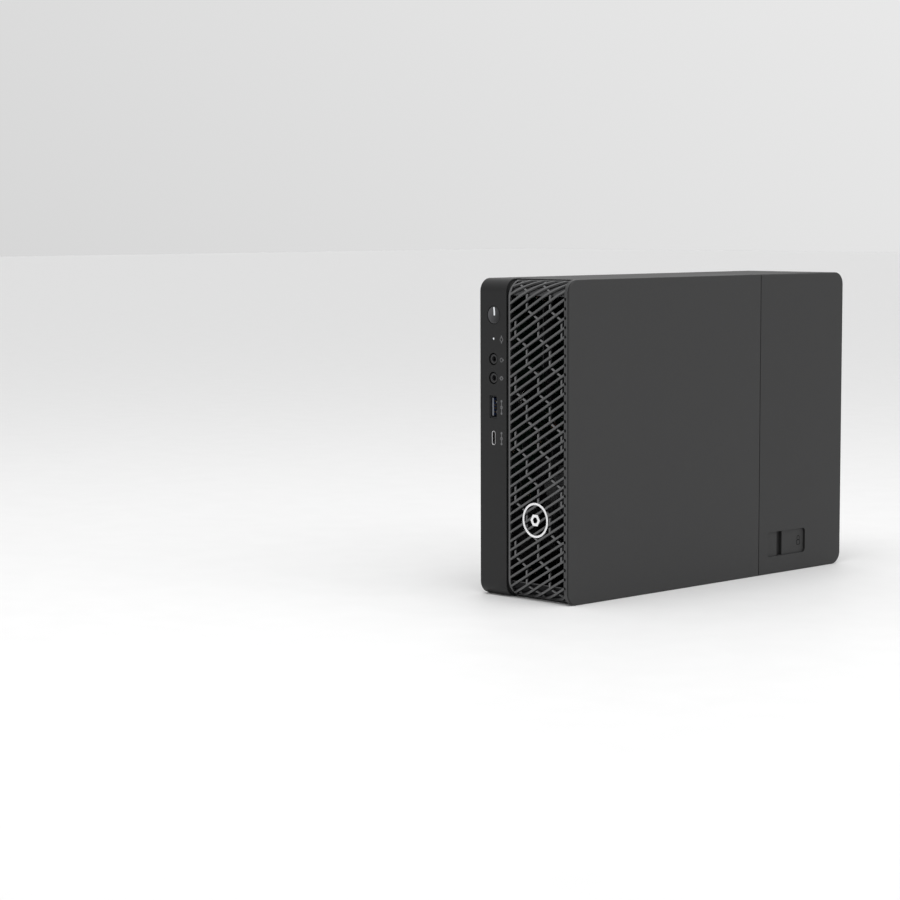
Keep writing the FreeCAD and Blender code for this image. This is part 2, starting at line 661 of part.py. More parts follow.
def fan_frame():
    """Square fan frame with a round duct, a motor seat and four struts."""
    half = FAN_SIZE / 2
    y0, y1 = FAN_Y, FAN_Y + FAN_THICK
    frame = box(FAN_X - half, FAN_X + half, y0, y1, CPU_Z - half, CPU_Z + half)
    frame = frame.cut(rod_y(FAN_X, CPU_Z, FAN_RADIUS, y0 - 1, y1 + 1))
    corner = half - 4
    for sx in (-1, 1):
        for sz in (-1, 1):
            frame = frame.cut(rod_y(FAN_X + sx * corner, CPU_Z + sz * corner, 1.8, y0 - 1, y1 + 1))
    seat = rod_y(FAN_X, CPU_Z, 12.0, y1 - 3, y1)
    struts = []
    for angle in (20, 110, 200, 290):
        strut = box(FAN_X + 11, FAN_X + FAN_RADIUS + 0.4, y1 - 2.6, y1, CPU_Z - 1.2, CPU_Z + 1.2)
        strut.rotate(Vector(FAN_X, y0, CPU_Z), Vector(0, 1, 0), angle)
        struts.append(strut)
    return fuse([frame, seat] + struts)


def fan_rotor(axis_point, direction, hub, tip, thick, count, pitch_angle):
    """Hub with blades set at an angle, turning about direction through axis_point."""
    point = Vector(*axis_point)
    cap = Part.makeCylinder(hub, thick, Vector(0, 0, 0), Vector(0, 0, 1))
    blades = []
    for index in range(count):
        blade = Part.makeBox(tip - hub + 3, 1.1, thick * 1.5, Vector(hub - 1.5, -0.55, -thick * 0.75))
        blade.rotate(Vector(0, 0, 0), Vector(1, 0, 0), pitch_angle)
        blade.translate(Vector(0, 0, thick / 2))
        blade.rotate(Vector(0, 0, 0), Vector(0, 0, 1), index * 360 / count)
        blades.append(blade)
    envelope = Part.makeCylinder(tip, thick, Vector(0, 0, 0), Vector(0, 0, 1))
    rotor = fuse([cap] + blades).common(envelope)
    rotor.rotate(Vector(0, 0, 0), Vector(0, 0, 1).cross(direction), 90)
    rotor.translate(point)
    return rotor


def air_duct():
    """Square sleeve that carries the fan's air to the heatsink."""
    y0, y1 = FAN_Y + FAN_THICK, SINK_Y0 - 0.6
    half = FAN_SIZE / 2
    x1 = FIN_X1 + 2.2
    legs = [box(BOARD_FACE, FAN_X - half, y0 + 2, y0 + 6, z, z + 4) for z in (19.0, 90.5)]
    outer = box(FAN_X - half, x1, y0, y1, 17.0, 96.5)
    inner = box(FAN_X - half + 1.4, x1 - 1.4, y0 - 1, y1 + 1, 18.4, 95.1)
    plate = box(FAN_X - half, x1, y0, y0 + 1.4, 17.0, 96.5)
    plate = plate.cut(rod_y(FAN_X, CPU_Z, FAN_RADIUS, y0 - 1, y0 + 2))
    return fuse([outer.cut(inner), plate] + legs)


MEMORY_Z = (120.0, 156.0)
MEMORY_Y0 = FRONT + 56.0
MEMORY_LENGTH = 69.6


def memory_socket(z):
    """Edge socket with two side arms that hold the module flat over the board."""
    y0, y1 = MEMORY_Y0 - 2.2, MEMORY_Y0 + MEMORY_LENGTH + 2.2
    bar = box(BOARD_FACE, BOARD_FACE + 5.2, y0, y1, z, z + 5)
    bar = bar.cut(box(BOARD_FACE + 2.6, BOARD_FACE + 3.9, MEMORY_Y0 - 0.1, y1 - 2.1, z + 2, z + 6))
    arms = [box(BOARD_FACE, BOARD_FACE + 4.6, y0, y0 + 1.8, z + 5, z + 26),
            box(BOARD_FACE, BOARD_FACE + 4.6, y1 - 1.8, y1, z + 5, z + 26)]
    return fuse([bar] + arms)


def memory_module(z):
    x0 = BOARD_FACE + 2.7
    card = box(x0, x0 + 1.1, MEMORY_Y0, MEMORY_Y0 + MEMORY_LENGTH, z + 2.2, z + 32)
    chips = []
    for index in range(4):
        y = MEMORY_Y0 + 4.5 + index * 16.0
        chips.append(box(x0 + 1.1, x0 + 2.2, y, y + 12.5, z + 13, z + 24))
    return fuse([card] + chips)


SSD_Y = FRONT + 148.0
SSD_Z0 = 124.0


def drive_socket():
    block = box(BOARD_FACE, BOARD_FACE + 4.2, SSD_Y - 11, SSD_Y + 11, SSD_Z0 - 5, SSD_Z0)
    mouth = box(BOARD_FACE + 2.0, BOARD_FACE + 3.2, SSD_Y - 10.2, SSD_Y + 10.2, SSD_Z0 - 3, SSD_Z0 + 1)
    return block.cut(mouth)


def solid_state_drive():
    card = box(BOARD_FACE + 2.1, BOARD_FACE + 3.1, SSD_Y - 10, SSD_Y + 10, SSD_Z0 - 2.8, SSD_Z0 + 77)
    chips = [box(BOARD_FACE + 3.1, BOARD_FACE + 4.3, SSD_Y - 7, SSD_Y + 7, z, z + 18)
             for z in (SSD_Z0 + 6, SSD_Z0 + 28, SSD_Z0 + 50)]
    return fuse([card] + chips).cut(rod_x(SSD_Y, SSD_Z0 + 77, 2.9, BOARD_FACE, BOARD_FACE + 6))


def drive_heat_spreader():
    """Ribbed plate over the drive's chips."""
    x0 = BOARD_FACE + 4.3
    plate = box(x0, x0 + 1.2, SSD_Y - 10, SSD_Y + 10, SSD_Z0 + 2, SSD_Z0 + 70)
    ribs = [box(x0 + 1.2, x0 + 3.2, SSD_Y - 9.4 + k * 2.6, SSD_Y - 8.4 + k * 2.6, SSD_Z0 + 2, SSD_Z0 + 70)
            for k in range(8)]
    return fuse([plate] + ribs)


def drive_screw():
    """Screw and its post at the drive's far end."""
    z = SSD_Z0 + 77
    post = rod_x(SSD_Y, z, 2.7, BOARD_FACE, BOARD_FACE + 3.1)
    return fuse([post, rod_x(SSD_Y, z, 1.8, BOARD_FACE + 3.1, BOARD_FACE + 4.4)])


WIFI_Y = FRONT + 36.0
WIFI_Z0 = 156.0


def wireless_card():
    """Small radio card: its board, shield can and edge socket."""
    card = box(BOARD_FACE + 2.0, BOARD_FACE + 2.8, WIFI_Y - 11, WIFI_Y + 11, WIFI_Z0, WIFI_Z0 + 30)
    can = box(BOARD_FACE + 2.8, BOARD_FACE + 4.6, WIFI_Y - 9, WIFI_Y + 9, WIFI_Z0 + 5, WIFI_Z0 + 22)
    socket = box(BOARD_FACE, BOARD_FACE + 2.0, WIFI_Y - 11, WIFI_Y + 11, WIFI_Z0 - 3, WIFI_Z0 + 4)
    stud_x = BOARD_FACE + 2.8
    studs = [rod_x(WIFI_Y + side * 5, WIFI_Z0 + 26, 0.9, stud_x, stud_x + 1) for side in (-1, 1)]
    return fuse([card, can, socket] + studs)


COIN_Y = FRONT + 36.0
COIN_Z = 126.0


def coin_cell():
    return rod_x(COIN_Y, COIN_Z, 10.0, BOARD_FACE + 1.2, BOARD_FACE + 4.4)


def coin_cell_holder():
    ring = rod_x(COIN_Y, COIN_Z, 12.0, BOARD_FACE, BOARD_FACE + 3.2)
    return ring.cut(rod_x(COIN_Y, COIN_Z, 10.1, BOARD_FACE + 1.2, BOARD_FACE + 5))


def speaker():
    """Small boxed speaker low behind the front strip, its round cone towards the front."""
    y0 = FRONT + 14
    case = box(BOARD_FACE, BOARD_FACE + 17, y0, y0 + 14, 20, 62)
    for z in (31, 51):
        case = case.cut(rod_y(BOARD_FACE + 9, z, 6.5, y0 - 1, y0 + 1.5))
        case = fuse([case, rod_y(BOARD_FACE + 9, z, 3.0, y0 + 0.4, y0 + 1.6)])
    return case


# ---------------------------------------------------------------- graphics card

def riser_board():
    """Card that stands out from the motherboard and carries the expansion slot."""
    return box(BOARD_FACE + 6, CARD_X + 8, FRONT + 70, FRONT + 172, RISER_Z - 1.6, RISER_Z)


def riser_socket():
    body = box(BOARD_FACE, BOARD_FACE + 9, FRONT + 84, FRONT + 160, RISER_Z - 5, RISER_Z + 3.4)
    mouth = box(BOARD_FACE + 5.9, BOARD_FACE + 10, FRONT + 69, FRONT + 173, RISER_Z - 1.7, RISER_Z + 0.1)
    return body.cut(mouth)


def expansion_slot():
    x = CARD_X + 0.8
    body = box(x - 3.7, x + 3.7, FRONT + 80, FRONT + 169, RISER_Z, RISER_Z + 11)
    return body.cut(box(x - 0.9, x + 0.9, FRONT + 82, FRONT + 167, RISER_Z + 2.6, RISER_Z + 12))


def graphics_board():
    card = box(CARD_X, CARD_X + 1.6, CARD_Y0, CARD_Y1, CARD_Z0, CARD_Z1)
    edge = box(CARD_X, CARD_X + 1.6, FRONT + 83, FRONT + 166, RISER_Z + 3, CARD_Z0)
    return fuse([card, edge])


def graphics_heatsink():
    """Fin block behind the card's fan."""
    x0 = CARD_X + 1.6
    base = box(x0, x0 + 3, CARD_Y0 + 58, CARD_Y1 - 14, CARD_Z0 + 4, CARD_Z1 - 4)
    fins = [box(x0 + 3, x0 + 13, CARD_Y0 + 58, CARD_Y1 - 14, z, z + 0.6)
            for z in [CARD_Z0 + 4 + k * 2.6 for k in range(22)]]
    return fuse([base] + fins)


def graphics_shroud():
    """Plastic hood over the fins, with a round intake over the fan."""
    x0, x1 = CARD_X + 1.6, CARD_X + 17.4
    outer = box(x0, x1, CARD_Y0, CARD_Y1 - 11.5, CARD_Z0 + 1, CARD_Z1)
    inner = box(x0 - 1, x1 - 1.4, CARD_Y0 + 1.4, CARD_Y1, CARD_Z0 + 2.4, CARD_Z1 - 1.4)
    intake = rod_x(CARD_FAN_Y, CARD_FAN_Z, 24.0, x1 - 3, x1 + 1)
    slots = [box(x1 - 3, x1 + 1, CARD_Y0 + 70 + k * 9, CARD_Y0 + 74 + k * 9, CARD_Z0 + 10, CARD_Z1 - 10)
             for k in range(7)]
    return outer.cut([inner, intake] + slots)


def graphics_fan_base():
    """Motor seat of the card's fan, fixed to the card's board."""
    return rod_x(CARD_FAN_Y, CARD_FAN_Z, 9.0, CARD_X + 1.6, CARD_X + 4.0)


def graphics_bracket():
    """Steel slot bracket at the rear, with its mounting lip and socket openings."""
    y0 = REAR_WALL_IN - 1.2
    x0, x1 = CARD_X - 2.2, CARD_X + 16.6
    plate = box(x0, x1, y0, y0 + 1.0, CARD_Z0 - 5, CARD_Z1 + 7)
    lip = box(x0, x1, y0 - 9, y0, CARD_Z1 + 6, CARD_Z1 + 7)
    cuts = [rod_z((x0 + x1) / 2, y0 - 5, 1.9, CARD_Z1 + 5, CARD_Z1 + 8)]
    for z in card_output_heights():
        cuts.append(box(CARD_X + 1.4, CARD_X + 8.4, y0 - 1, y0 + 2, z - 8.2, z + 8.2))
        cuts.append(box(CARD_X + 10.6, CARD_X + 13.4, y0 - 1, y0 + 2, z - 7, z + 7))
    return fuse([plate, lip]).cut(cuts)


def card_output_heights():
    return [CARD_Z0 + 10 + k * 19.0 for k in range(3)]


def graphics_outputs():
    outputs = []
    y1 = REAR_WALL_IN - 0.2
    for z in card_output_heights():
        housing = box(CARD_X + 1.6, CARD_X + 8.2, y1 - 13, y1, z - 8.0, z + 8.0)
        mouth = box(CARD_X + 2.6, CARD_X + 7.2, y1 - 9, y1 + 1, z - 7.2, z + 7.2)
        tongue = box(CARD_X + 4.2, CARD_X + 5.6, y1 - 10, y1 - 1.5, z - 5.4, z + 5.4)
        outputs.append(fuse([housing.cut(mouth), tongue]))
    return outputs


def bracket_bridge():
    """Folded strap of the tray that the card bracket's lip is screwed to."""
    y1 = REAR_WALL_IN
    x0, x1 = CARD_X - 2.2, CARD_X + 16.6
    z0 = CARD_Z1 + 7
    shelf = box(x0, x1, y1 - 10, y1, z0, z0 + 1.2)
    riser = box(x0, x1, y1 - 1.2, y1, z0 + 1.2, HEIGHT - SHEET - 2.2)
    hole = rod_z((x0 + x1) / 2, y1 - 6.2, 1.6, z0 - 1, z0 + 2)
    return fuse([shelf, riser]).cut(hole)


def bracket_screw():
    x = CARD_X + 7.2
    y = REAR_WALL_IN - 6.2
    z = CARD_Z1 + 6
    return fuse([rod_z(x, y, 3.0, z - 2.2, z), rod_z(x, y, 1.5, z, z + 4.2)])


# ---------------------------------------------------------------- cable cover

def cable_cover():
    """Plastic shell that closes over the rear sockets and lets the cables out low at the back."""
    y0 = SEAM
    outer = rounded_yz(LEFT, RIGHT, y0, REAR, 0, HEIGHT, 0, PROFILE_RADIUS)
    for x in (LEFT, RIGHT):
        outline = [e for e in outer.Edges if all(abs(v.X - x) < 1e-6 for v in e.Vertexes)
                   and any(v.Y > y0 + 1e-6 for v in e.Vertexes)]
        outer = outer.makeFillet(EDGE_BEND, outline)
    wall = COVER_WALL
    core = rounded_yz(LEFT + wall, RIGHT - wall, y0 - 1, REAR - wall, wall, HEIGHT - wall, 0,
                      PROFILE_RADIUS - wall)
    opening = latch_opening(RIGHT - LATCH_LIP - 1, RIGHT + 1, 0.0)
    pocket = box(RIGHT - wall - 1, RIGHT - LATCH_LIP, LATCH_HEAD - 1.5, LATCH_TAIL + 8,
                 LATCH_Z0 - 2.4, LATCH_Z1 + 2.4)
    cuts = [core, opening, pocket, box(*cable_exit())]
    for row in range(14):
        z = 58.0 + row * 9.0
        slot = obround_y(0, 0, 3.2, 52.0, REAR - wall - 1, REAR + 1)
        slot.rotate(Vector(0, 0, 0), Vector(0, 1, 0), 90)
        slot.translate(Vector(0.4, 0, z))
        cuts.append(slot)
    return outer.cut(cuts)


def cable_exit():
    return (-26.0, 20.0, REAR - COVER_WALL - 1, REAR + 1, 10.0, 34.0)


def latch_opening(x0, x1, grow):
    """Rounded rectangle through the right wall that frames the latch."""
    y0, y1 = LATCH_Y0 - grow, LATCH_Y1 + grow
    z0, z1 = LATCH_Z0 - grow, LATCH_Z1 + grow
    return rounded_yz(x0, x1, y0, y1, z0, z1, 2.6, 2.6)


def locating_tongues():
    """Four tongues that centre the cable cover inside the rim of the tray."""
    tongues = []
    for x in (-24.0, 14.0):
        for z in (SHEET + 0.3, HEIGHT - SHEET - 1.8):
            tongues.append(box(x, x + 12, SEAM - 3.4, SEAM, z, z + 1.5))
            root_z0 = z if z < MOUNT_Z else HEIGHT - COVER_WALL - 1.2
            tongues.append(box(x, x + 12, SEAM, SEAM + 6, root_z0, root_z0 + 1.7))
    return tongues


def release_latch():
    """Slider under the cover's skin with a finger notch and a flat tongue at its head."""
    plate = box(LATCH_IN, LATCH_OUT, LATCH_HEAD, LATCH_TAIL, LATCH_Z0 - 2, LATCH_Z1 + 2)
    notch_y0, notch_y1 = FRONT + 210.5, FRONT + 216.2
    depth = 2.5
    points = [
        Vector(LATCH_OUT + 0.1, notch_y0, LATCH_Z0),
        Vector(LATCH_OUT - depth, notch_y0 + 3.0, LATCH_Z0),
        Vector(LATCH_OUT - depth, notch_y1, LATCH_Z0),
        Vector(LATCH_OUT + 0.1, notch_y1, LATCH_Z0),
    ]
    notch = Part.Face(Part.makePolygon(points + points[:1])).extrude(Vector(0, 0, LATCH_Z1 - LATCH_Z0))
    tongue = box(LATCH_IN, LATCH_IN + 2.2, SEAM - 8, LATCH_HEAD, LATCH_MID_Z - 4.5, LATCH_MID_Z + 4.5)
    seat = rod_y(LATCH_IN + SPRING_OFFSET, LATCH_MID_Z, 1.5, LATCH_TAIL - 3, LATCH_TAIL + 1)
    return fuse([plate, tongue]).cut([notch, seat])


def latch_guide():
    """Channel screwed inside the cover: it backs the slider and holds its spring's far end."""
    x0, x1 = LATCH_IN - 2.6, LATCH_IN - 0.2
    y0, y1 = LATCH_HEAD + 2, LATCH_TAIL + 14
    back = box(x0, x1, y0, y1, LATCH_Z0 - 7, LATCH_Z1 + 7)
    rails = [box(x1, RIGHT - COVER_WALL, y0, y1, z, z + 3.6) for z in (LATCH_Z0 - 6.3, LATCH_Z1 + 2.7)]
    end = box(x1, RIGHT - COVER_WALL, y1 - 2.5, y1, LATCH_Z0 - 2.7, LATCH_Z1 + 2.7)
    holes = [rod_x(y, z, 1.2, x0 - 1, RIGHT) for y, z in guide_screw_places()]
    return fuse([back, end] + rails).cut(holes)


def guide_screw_places():
    return [(y, z) for y in (LATCH_HEAD + 8, LATCH_TAIL + 8) for z in (LATCH_Z0 - 4.2, LATCH_Z1 + 4.5)]


def latch_guide_screws():
    screws = []
    x0 = LATCH_IN - 2.6
    for y, z in guide_screw_places():
        screws.append(fuse([rod_x(y, z, 2.1, x0 - 1.4, x0), rod_x(y, z, 1.15, x0, RIGHT - COVER_WALL - 0.1)]))
    return screws


def latch_spring():
    """Small compression coil between the slider's tail and the guide's end wall."""
    y0, y1 = LATCH_TAIL + 0.1, LATCH_TAIL + 11.3
    wire = 0.35
    helix = Part.makeHelix(1.8, y1 - y0 - 2 * wire, 1.1)
    ring = Part.Wire(Part.makeCircle(wire, Vector(1.1, 0, 0), Vector(0, 1, 0)))
    coil = Part.Wire(helix).makePipeShell([ring], True, True)
    coil.rotate(Vector(0, 0, 0), Vector(1, 0, 0), -90)
    coil.translate(Vector(LATCH_IN + SPRING_OFFSET, y0 + wire, LATCH_MID_Z))
    return coil


# ---------------------------------------------------------------- cables and antennas

def antennas():
    """Two flat aerials: one up at the front, one at the top rear."""
    front = box(2.0, 3.0, FRONT + 16, FRONT + 24, 150, 190)
    rear = box(-20.0, 8.0, FRONT + 150, FRONT + 158, HEIGHT - SHEET - 1.4, HEIGHT - SHEET - 0.4)
    return [front, rear]


def antenna_cables():
    top = WIFI_Z0 + 26
    x = BOARD_FACE + 3.8
    first = [(x, WIFI_Y - 5, top), (x + 8, WIFI_Y - 5, top), (x + 18, FRONT + 22, top - 8),
             (-4.0, FRONT + 20, top - 10), (2.0, FRONT + 20, top - 10)]
    second = [(x, WIFI_Y + 5, top), (x + 5, WIFI_Y + 5, top), (x + 9, WIFI_Y + 20, 198),
              (x + 9, FRONT + 130, 199),
              (-6.0, FRONT + 154, 202.6), (-6.0, FRONT + 154, HEIGHT - SHEET - 1.4)]
    return [routed_tube(first, 1.2), routed_tube(second, 1.2)]


def fan_cable():
    half = FAN_SIZE / 2
    x = FAN_X - half + 8
    return routed_tube([
        (x, FAN_Y + 8, CPU_Z + half), (x, FAN_Y + 8, CPU_Z + half + 8), (x - 6, FAN_Y + 6, CPU_Z + half + 14),
        (BOARD_FACE + 6, FAN_Y + 5, CPU_Z + half + 14), (BOARD_FACE, FAN_Y + 5, CPU_Z + half + 14)], 2.4)


def speaker_cable():
    return routed_tube([
        (BOARD_FACE + 9, FRONT + 21, 62), (BOARD_FACE + 9, FRONT + 21, 70), (BOARD_FACE + 6, FRONT + 24, 78),
        (BOARD_FACE, FRONT + 24, 78)], 1.8)


def build():
    save("chassis_tray", chassis_tray())
    save("mount_inserts", *mount_inserts())
    save("side_feet", *side_feet())
    save("side_cover", side_cover())
    save("cover_thumbscrew", cover_thumbscrew())
    save("front_bezel", front_bezel())
    save("front_grille", front_grille())
    save("badge", *badge())
    save("power_button", power_button())
    save("power_light_line", light_line())
    save("power_switch", power_switch())
    save("status_light_guide", status_light_guide())
    save("audio_jacks", *[audio_jack(z) for z in JACK_Z])
    save("front_usb_a", *front_usb_a())
    save("front_usb_c", *front_usb_c())
    for name in dict.fromkeys(kind for kind, *_ in REAR_SOCKETS):
        solids = [rear_socket(name, *span) for kind, *span in REAR_SOCKETS if kind == name]
        save(name, *[solid for group in solids for solid in group])
    save("motherboard", motherboard())
    save("standoffs", *standoffs())
    save("board_screws", *board_screws())
    save("board_components", *board_components())
    save("processor", processor())
    save("processor_socket", processor_socket())
    pipes = heat_pipes()
    save("heat_pipes", *pipes)
    save("heatsink", heatsink(pipes))
    save("heatsink_screws", *heatsink_screws())
    save("fan_frame", fan_frame())
    save("fan_rotor", fan_rotor((FAN_X, FAN_Y + 1.5, CPU_Z), Vector(0, 1, 0), 11.5, 27.8, 10.0, 7, 40))
    save("air_duct", air_duct())
    save("memory_sockets", *[memory_socket(z) for z in MEMORY_Z])
    save("memory_modules", *[memory_module(z) for z in MEMORY_Z])
    save("drive_socket", drive_socket())
    save("solid_state_drive", solid_state_drive())
    save("drive_heat_spreader", drive_heat_spreader())
    save("drive_screw", drive_screw())
    save("wireless_card", wireless_card())
    save("coin_cell", coin_cell())
    save("coin_cell_holder", coin_cell_holder())
    save("speaker", speaker())
    save("riser_board", riser_board())
    save("riser_socket", riser_socket())
    save("expansion_slot", expansion_slot())
    save("graphics_board", graphics_board())
    save("graphics_heatsink", graphics_heatsink())
    save("graphics_shroud", graphics_shroud())
    save("graphics_fan_base", graphics_fan_base())
    save("graphics_fan_rotor",
         fan_rotor((CARD_X + 4.4, CARD_FAN_Y, CARD_FAN_Z), Vector(1, 0, 0), 9.0, 23.0, 10.5, 9, 35))
    save("graphics_bracket", graphics_bracket())
    save("graphics_outputs", *graphics_outputs())
    save("bracket_screw", bracket_screw())
    save("cable_cover", fuse([cable_cover()] + locating_tongues()))
    save("release_latch", release_latch())
    save("latch_guide", latch_guide())
    save("latch_guide_screws", *latch_guide_screws())
    save("latch_spring", latch_spring())
    save("antennas", *antennas())
    save("antenna_cables", *antenna_cables())
    save("internal_cables", fan_cable(), speaker_cable())


os.makedirs("parts", exist_ok=True)
build()
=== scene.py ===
import bpy
import bmesh
import json
import math
import random
from mathutils import Matrix, Vector
from mathutils.geometry import delaunay_2d_cdt


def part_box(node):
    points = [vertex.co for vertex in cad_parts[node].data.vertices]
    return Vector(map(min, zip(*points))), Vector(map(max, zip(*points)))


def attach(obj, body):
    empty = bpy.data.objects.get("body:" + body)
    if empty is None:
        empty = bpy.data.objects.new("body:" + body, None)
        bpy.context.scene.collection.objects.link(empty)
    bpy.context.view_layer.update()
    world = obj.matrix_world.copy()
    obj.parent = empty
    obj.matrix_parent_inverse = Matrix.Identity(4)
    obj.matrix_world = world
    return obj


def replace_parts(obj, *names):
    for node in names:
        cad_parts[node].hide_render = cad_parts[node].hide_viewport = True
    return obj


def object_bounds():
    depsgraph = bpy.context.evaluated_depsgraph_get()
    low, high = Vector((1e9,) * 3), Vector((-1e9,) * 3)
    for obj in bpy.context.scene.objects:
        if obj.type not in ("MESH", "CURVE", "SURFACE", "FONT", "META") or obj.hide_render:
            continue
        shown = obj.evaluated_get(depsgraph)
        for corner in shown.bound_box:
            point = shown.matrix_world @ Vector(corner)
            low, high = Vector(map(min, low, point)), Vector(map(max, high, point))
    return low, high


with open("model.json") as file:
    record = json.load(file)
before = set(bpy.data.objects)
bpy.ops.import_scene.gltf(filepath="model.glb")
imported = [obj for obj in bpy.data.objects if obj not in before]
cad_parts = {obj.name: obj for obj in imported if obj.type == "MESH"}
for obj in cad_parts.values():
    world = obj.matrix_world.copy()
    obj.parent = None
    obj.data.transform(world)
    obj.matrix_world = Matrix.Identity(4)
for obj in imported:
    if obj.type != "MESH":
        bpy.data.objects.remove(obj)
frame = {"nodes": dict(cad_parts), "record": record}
cad_low, cad_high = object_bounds()

MM = 0.001
FRONT = cad_low.y
RIGHT = cad_high.x
TOP = cad_high.z
NODES = frame["nodes"]
GRAIN_DEPTH = 0.04 * MM
# The part of each noise's output that its colour or gloss change is spread over.
CLOUD_RANGE = (0.3, 0.7)
FINE_RANGE = (0.35, 0.75)
# Pointiness is 0.5 on a flat face and rises on an outer edge.
EDGE_RANGE = (0.52, 0.62)


# ---------------------------------------------------------------- materials

def ramp(tree, value, from_low, from_high, to_low, to_high):
    """Carries a value from one range to another, held at both ends."""
    node = tree.nodes.new("ShaderNodeMapRange")
    levels = {"From Min": from_low, "From Max": from_high, "To Min": to_low, "To Max": to_high}
    for name, level in levels.items():
        node.inputs[name].default_value = level
    tree.links.new(value, node.inputs["Value"])
    return node.outputs["Result"]


def multiply(tree, first, second):
    product = add_node(tree, "ShaderNodeMath", operation="MULTIPLY")
    tree.links.new(first, product.inputs[0])
    tree.links.new(second, product.inputs[1])
    return product.outputs["Value"]


def blend(tree, share, under, over):
    """Lays a plain colour over another colour by a share."""
    mix = add_node(tree, "ShaderNodeMix", data_type="RGBA")
    tree.links.new(share, mix.inputs["Factor"])
    tree.links.new(under, mix.inputs["A"])
    mix.inputs["B"].default_value = (*over, 1)
    return mix.outputs["Result"]


def add_node(tree, kind, **values):
    node = tree.nodes.new(kind)
    for name, value in values.items():
        if name in node.inputs:
            node.inputs[name].default_value = value
        else:
            setattr(node, name, value)
    return node


def finish(name, colour, roughness, *, metallic=0.0, grain=900.0, bump=0.1, mottling=0.12, wear=0.0,
           coat=0.0, specular=0.5, streak=(1.0, 1.0, 1.0), fleck=0.0, emission=0.0):
    """A procedural surface: two scales of colour change, uneven gloss, a grain in relief and, with wear,
    lighter edges."""
    material = bpy.data.materials.new(name)
    material.use_nodes = True
    tree = material.node_tree
    shader = tree.nodes["Principled BSDF"]
    shader.inputs["Metallic"].default_value = metallic
    shader.inputs["Coat Weight"].default_value = coat
    shader.inputs["Coat Roughness"].default_value = 0.12
    shader.inputs["Specular IOR Level"].default_value = specular
    if emission:
        shader.inputs["Emission Color"].default_value = (*colour, 1)
        shader.inputs["Emission Strength"].default_value = emission

    place = add_node(tree, "ShaderNodeTexCoord").outputs["Object"]
    stretch = add_node(tree, "ShaderNodeMapping", Scale=streak)
    tree.links.new(place, stretch.inputs["Vector"])
    cloud = add_node(tree, "ShaderNodeTexNoise", Scale=34.0, Detail=3.0, Roughness=0.55)
    fine = add_node(tree, "ShaderNodeTexNoise", Scale=grain, Detail=2.0, Roughness=0.6)
    tree.links.new(place, cloud.inputs["Vector"])
    tree.links.new(stretch.outputs["Vector"], fine.inputs["Vector"])

    tone = ramp(tree, cloud.outputs["Fac"], *CLOUD_RANGE, 1 - mottling, 1 + mottling)
    speck = ramp(tree, fine.outputs["Fac"], *FINE_RANGE, 1 - fleck * 0.5, 1 + fleck)
    shade = add_node(tree, "ShaderNodeVectorMath", operation="SCALE")
    shade.inputs[0].default_value = colour
    tree.links.new(multiply(tree, tone, speck), shade.inputs["Scale"])
    last_colour = shade.outputs["Vector"]
    if wear:
        edge = add_node(tree, "ShaderNodeNewGeometry").outputs["Pointiness"]
        worn = [min(1.0, c * 2.2 + 0.02) for c in colour]
        last_colour = blend(tree, ramp(tree, edge, *EDGE_RANGE, 0.0, wear), last_colour, worn)
    tree.links.new(last_colour, shader.inputs["Base Color"])

    spread = min(0.12, mottling)
    gloss = ramp(tree, cloud.outputs["Fac"], *CLOUD_RANGE, roughness * (1 - spread),
                 min(1.0, roughness * (1 + spread)))
    tree.links.new(gloss, shader.inputs["Roughness"])
    if bump:
        relief = add_node(tree, "ShaderNodeBump", Strength=bump, Distance=GRAIN_DEPTH)
        tree.links.new(fine.outputs["Fac"], relief.inputs["Height"])
        tree.links.new(relief.outputs["Normal"], shader.inputs["Normal"])
    return material


def circuit_board(name, colour, trace_colour):
    """Solder mask with lighter rectangular runs that show in square-sided patches."""
    material = finish(name, colour, 0.38, grain=2600.0, bump=0.12, mottling=0.08, coat=0.25)
    tree = material.node_tree
    base = tree.nodes["Principled BSDF"].inputs["Base Color"]
    place = next(node for node in tree.nodes if node.type == "TEX_COORD")
    turn = add_node(tree, "ShaderNodeMapping", Rotation=(0.0, math.radians(90), 0.0))
    tree.links.new(place.outputs["Object"], turn.inputs["Vector"])
    runs = add_node(tree, "ShaderNodeTexBrick", Scale=260.0, offset=0.5)
    runs.inputs["Mortar Size"].default_value = 0.03
    runs.inputs["Brick Width"].default_value = 1.6
    runs.inputs["Row Height"].default_value = 0.3
    patch = add_node(tree, "ShaderNodeTexVoronoi", Scale=95.0, distance="CHEBYCHEV")
    for texture in (runs, patch):
        tree.links.new(turn.outputs["Vector"], texture.inputs["Vector"])
    cut = add_node(tree, "ShaderNodeMath", operation="GREATER_THAN")
    tree.links.new(patch.outputs["Distance"], cut.inputs[0])
    cut.inputs[1].default_value = 0.42
    share = multiply(tree, cut.outputs["Value"], runs.outputs["Fac"])
    tree.links.new(blend(tree, share, base.links[0].from_socket, trace_colour), base)
    return material


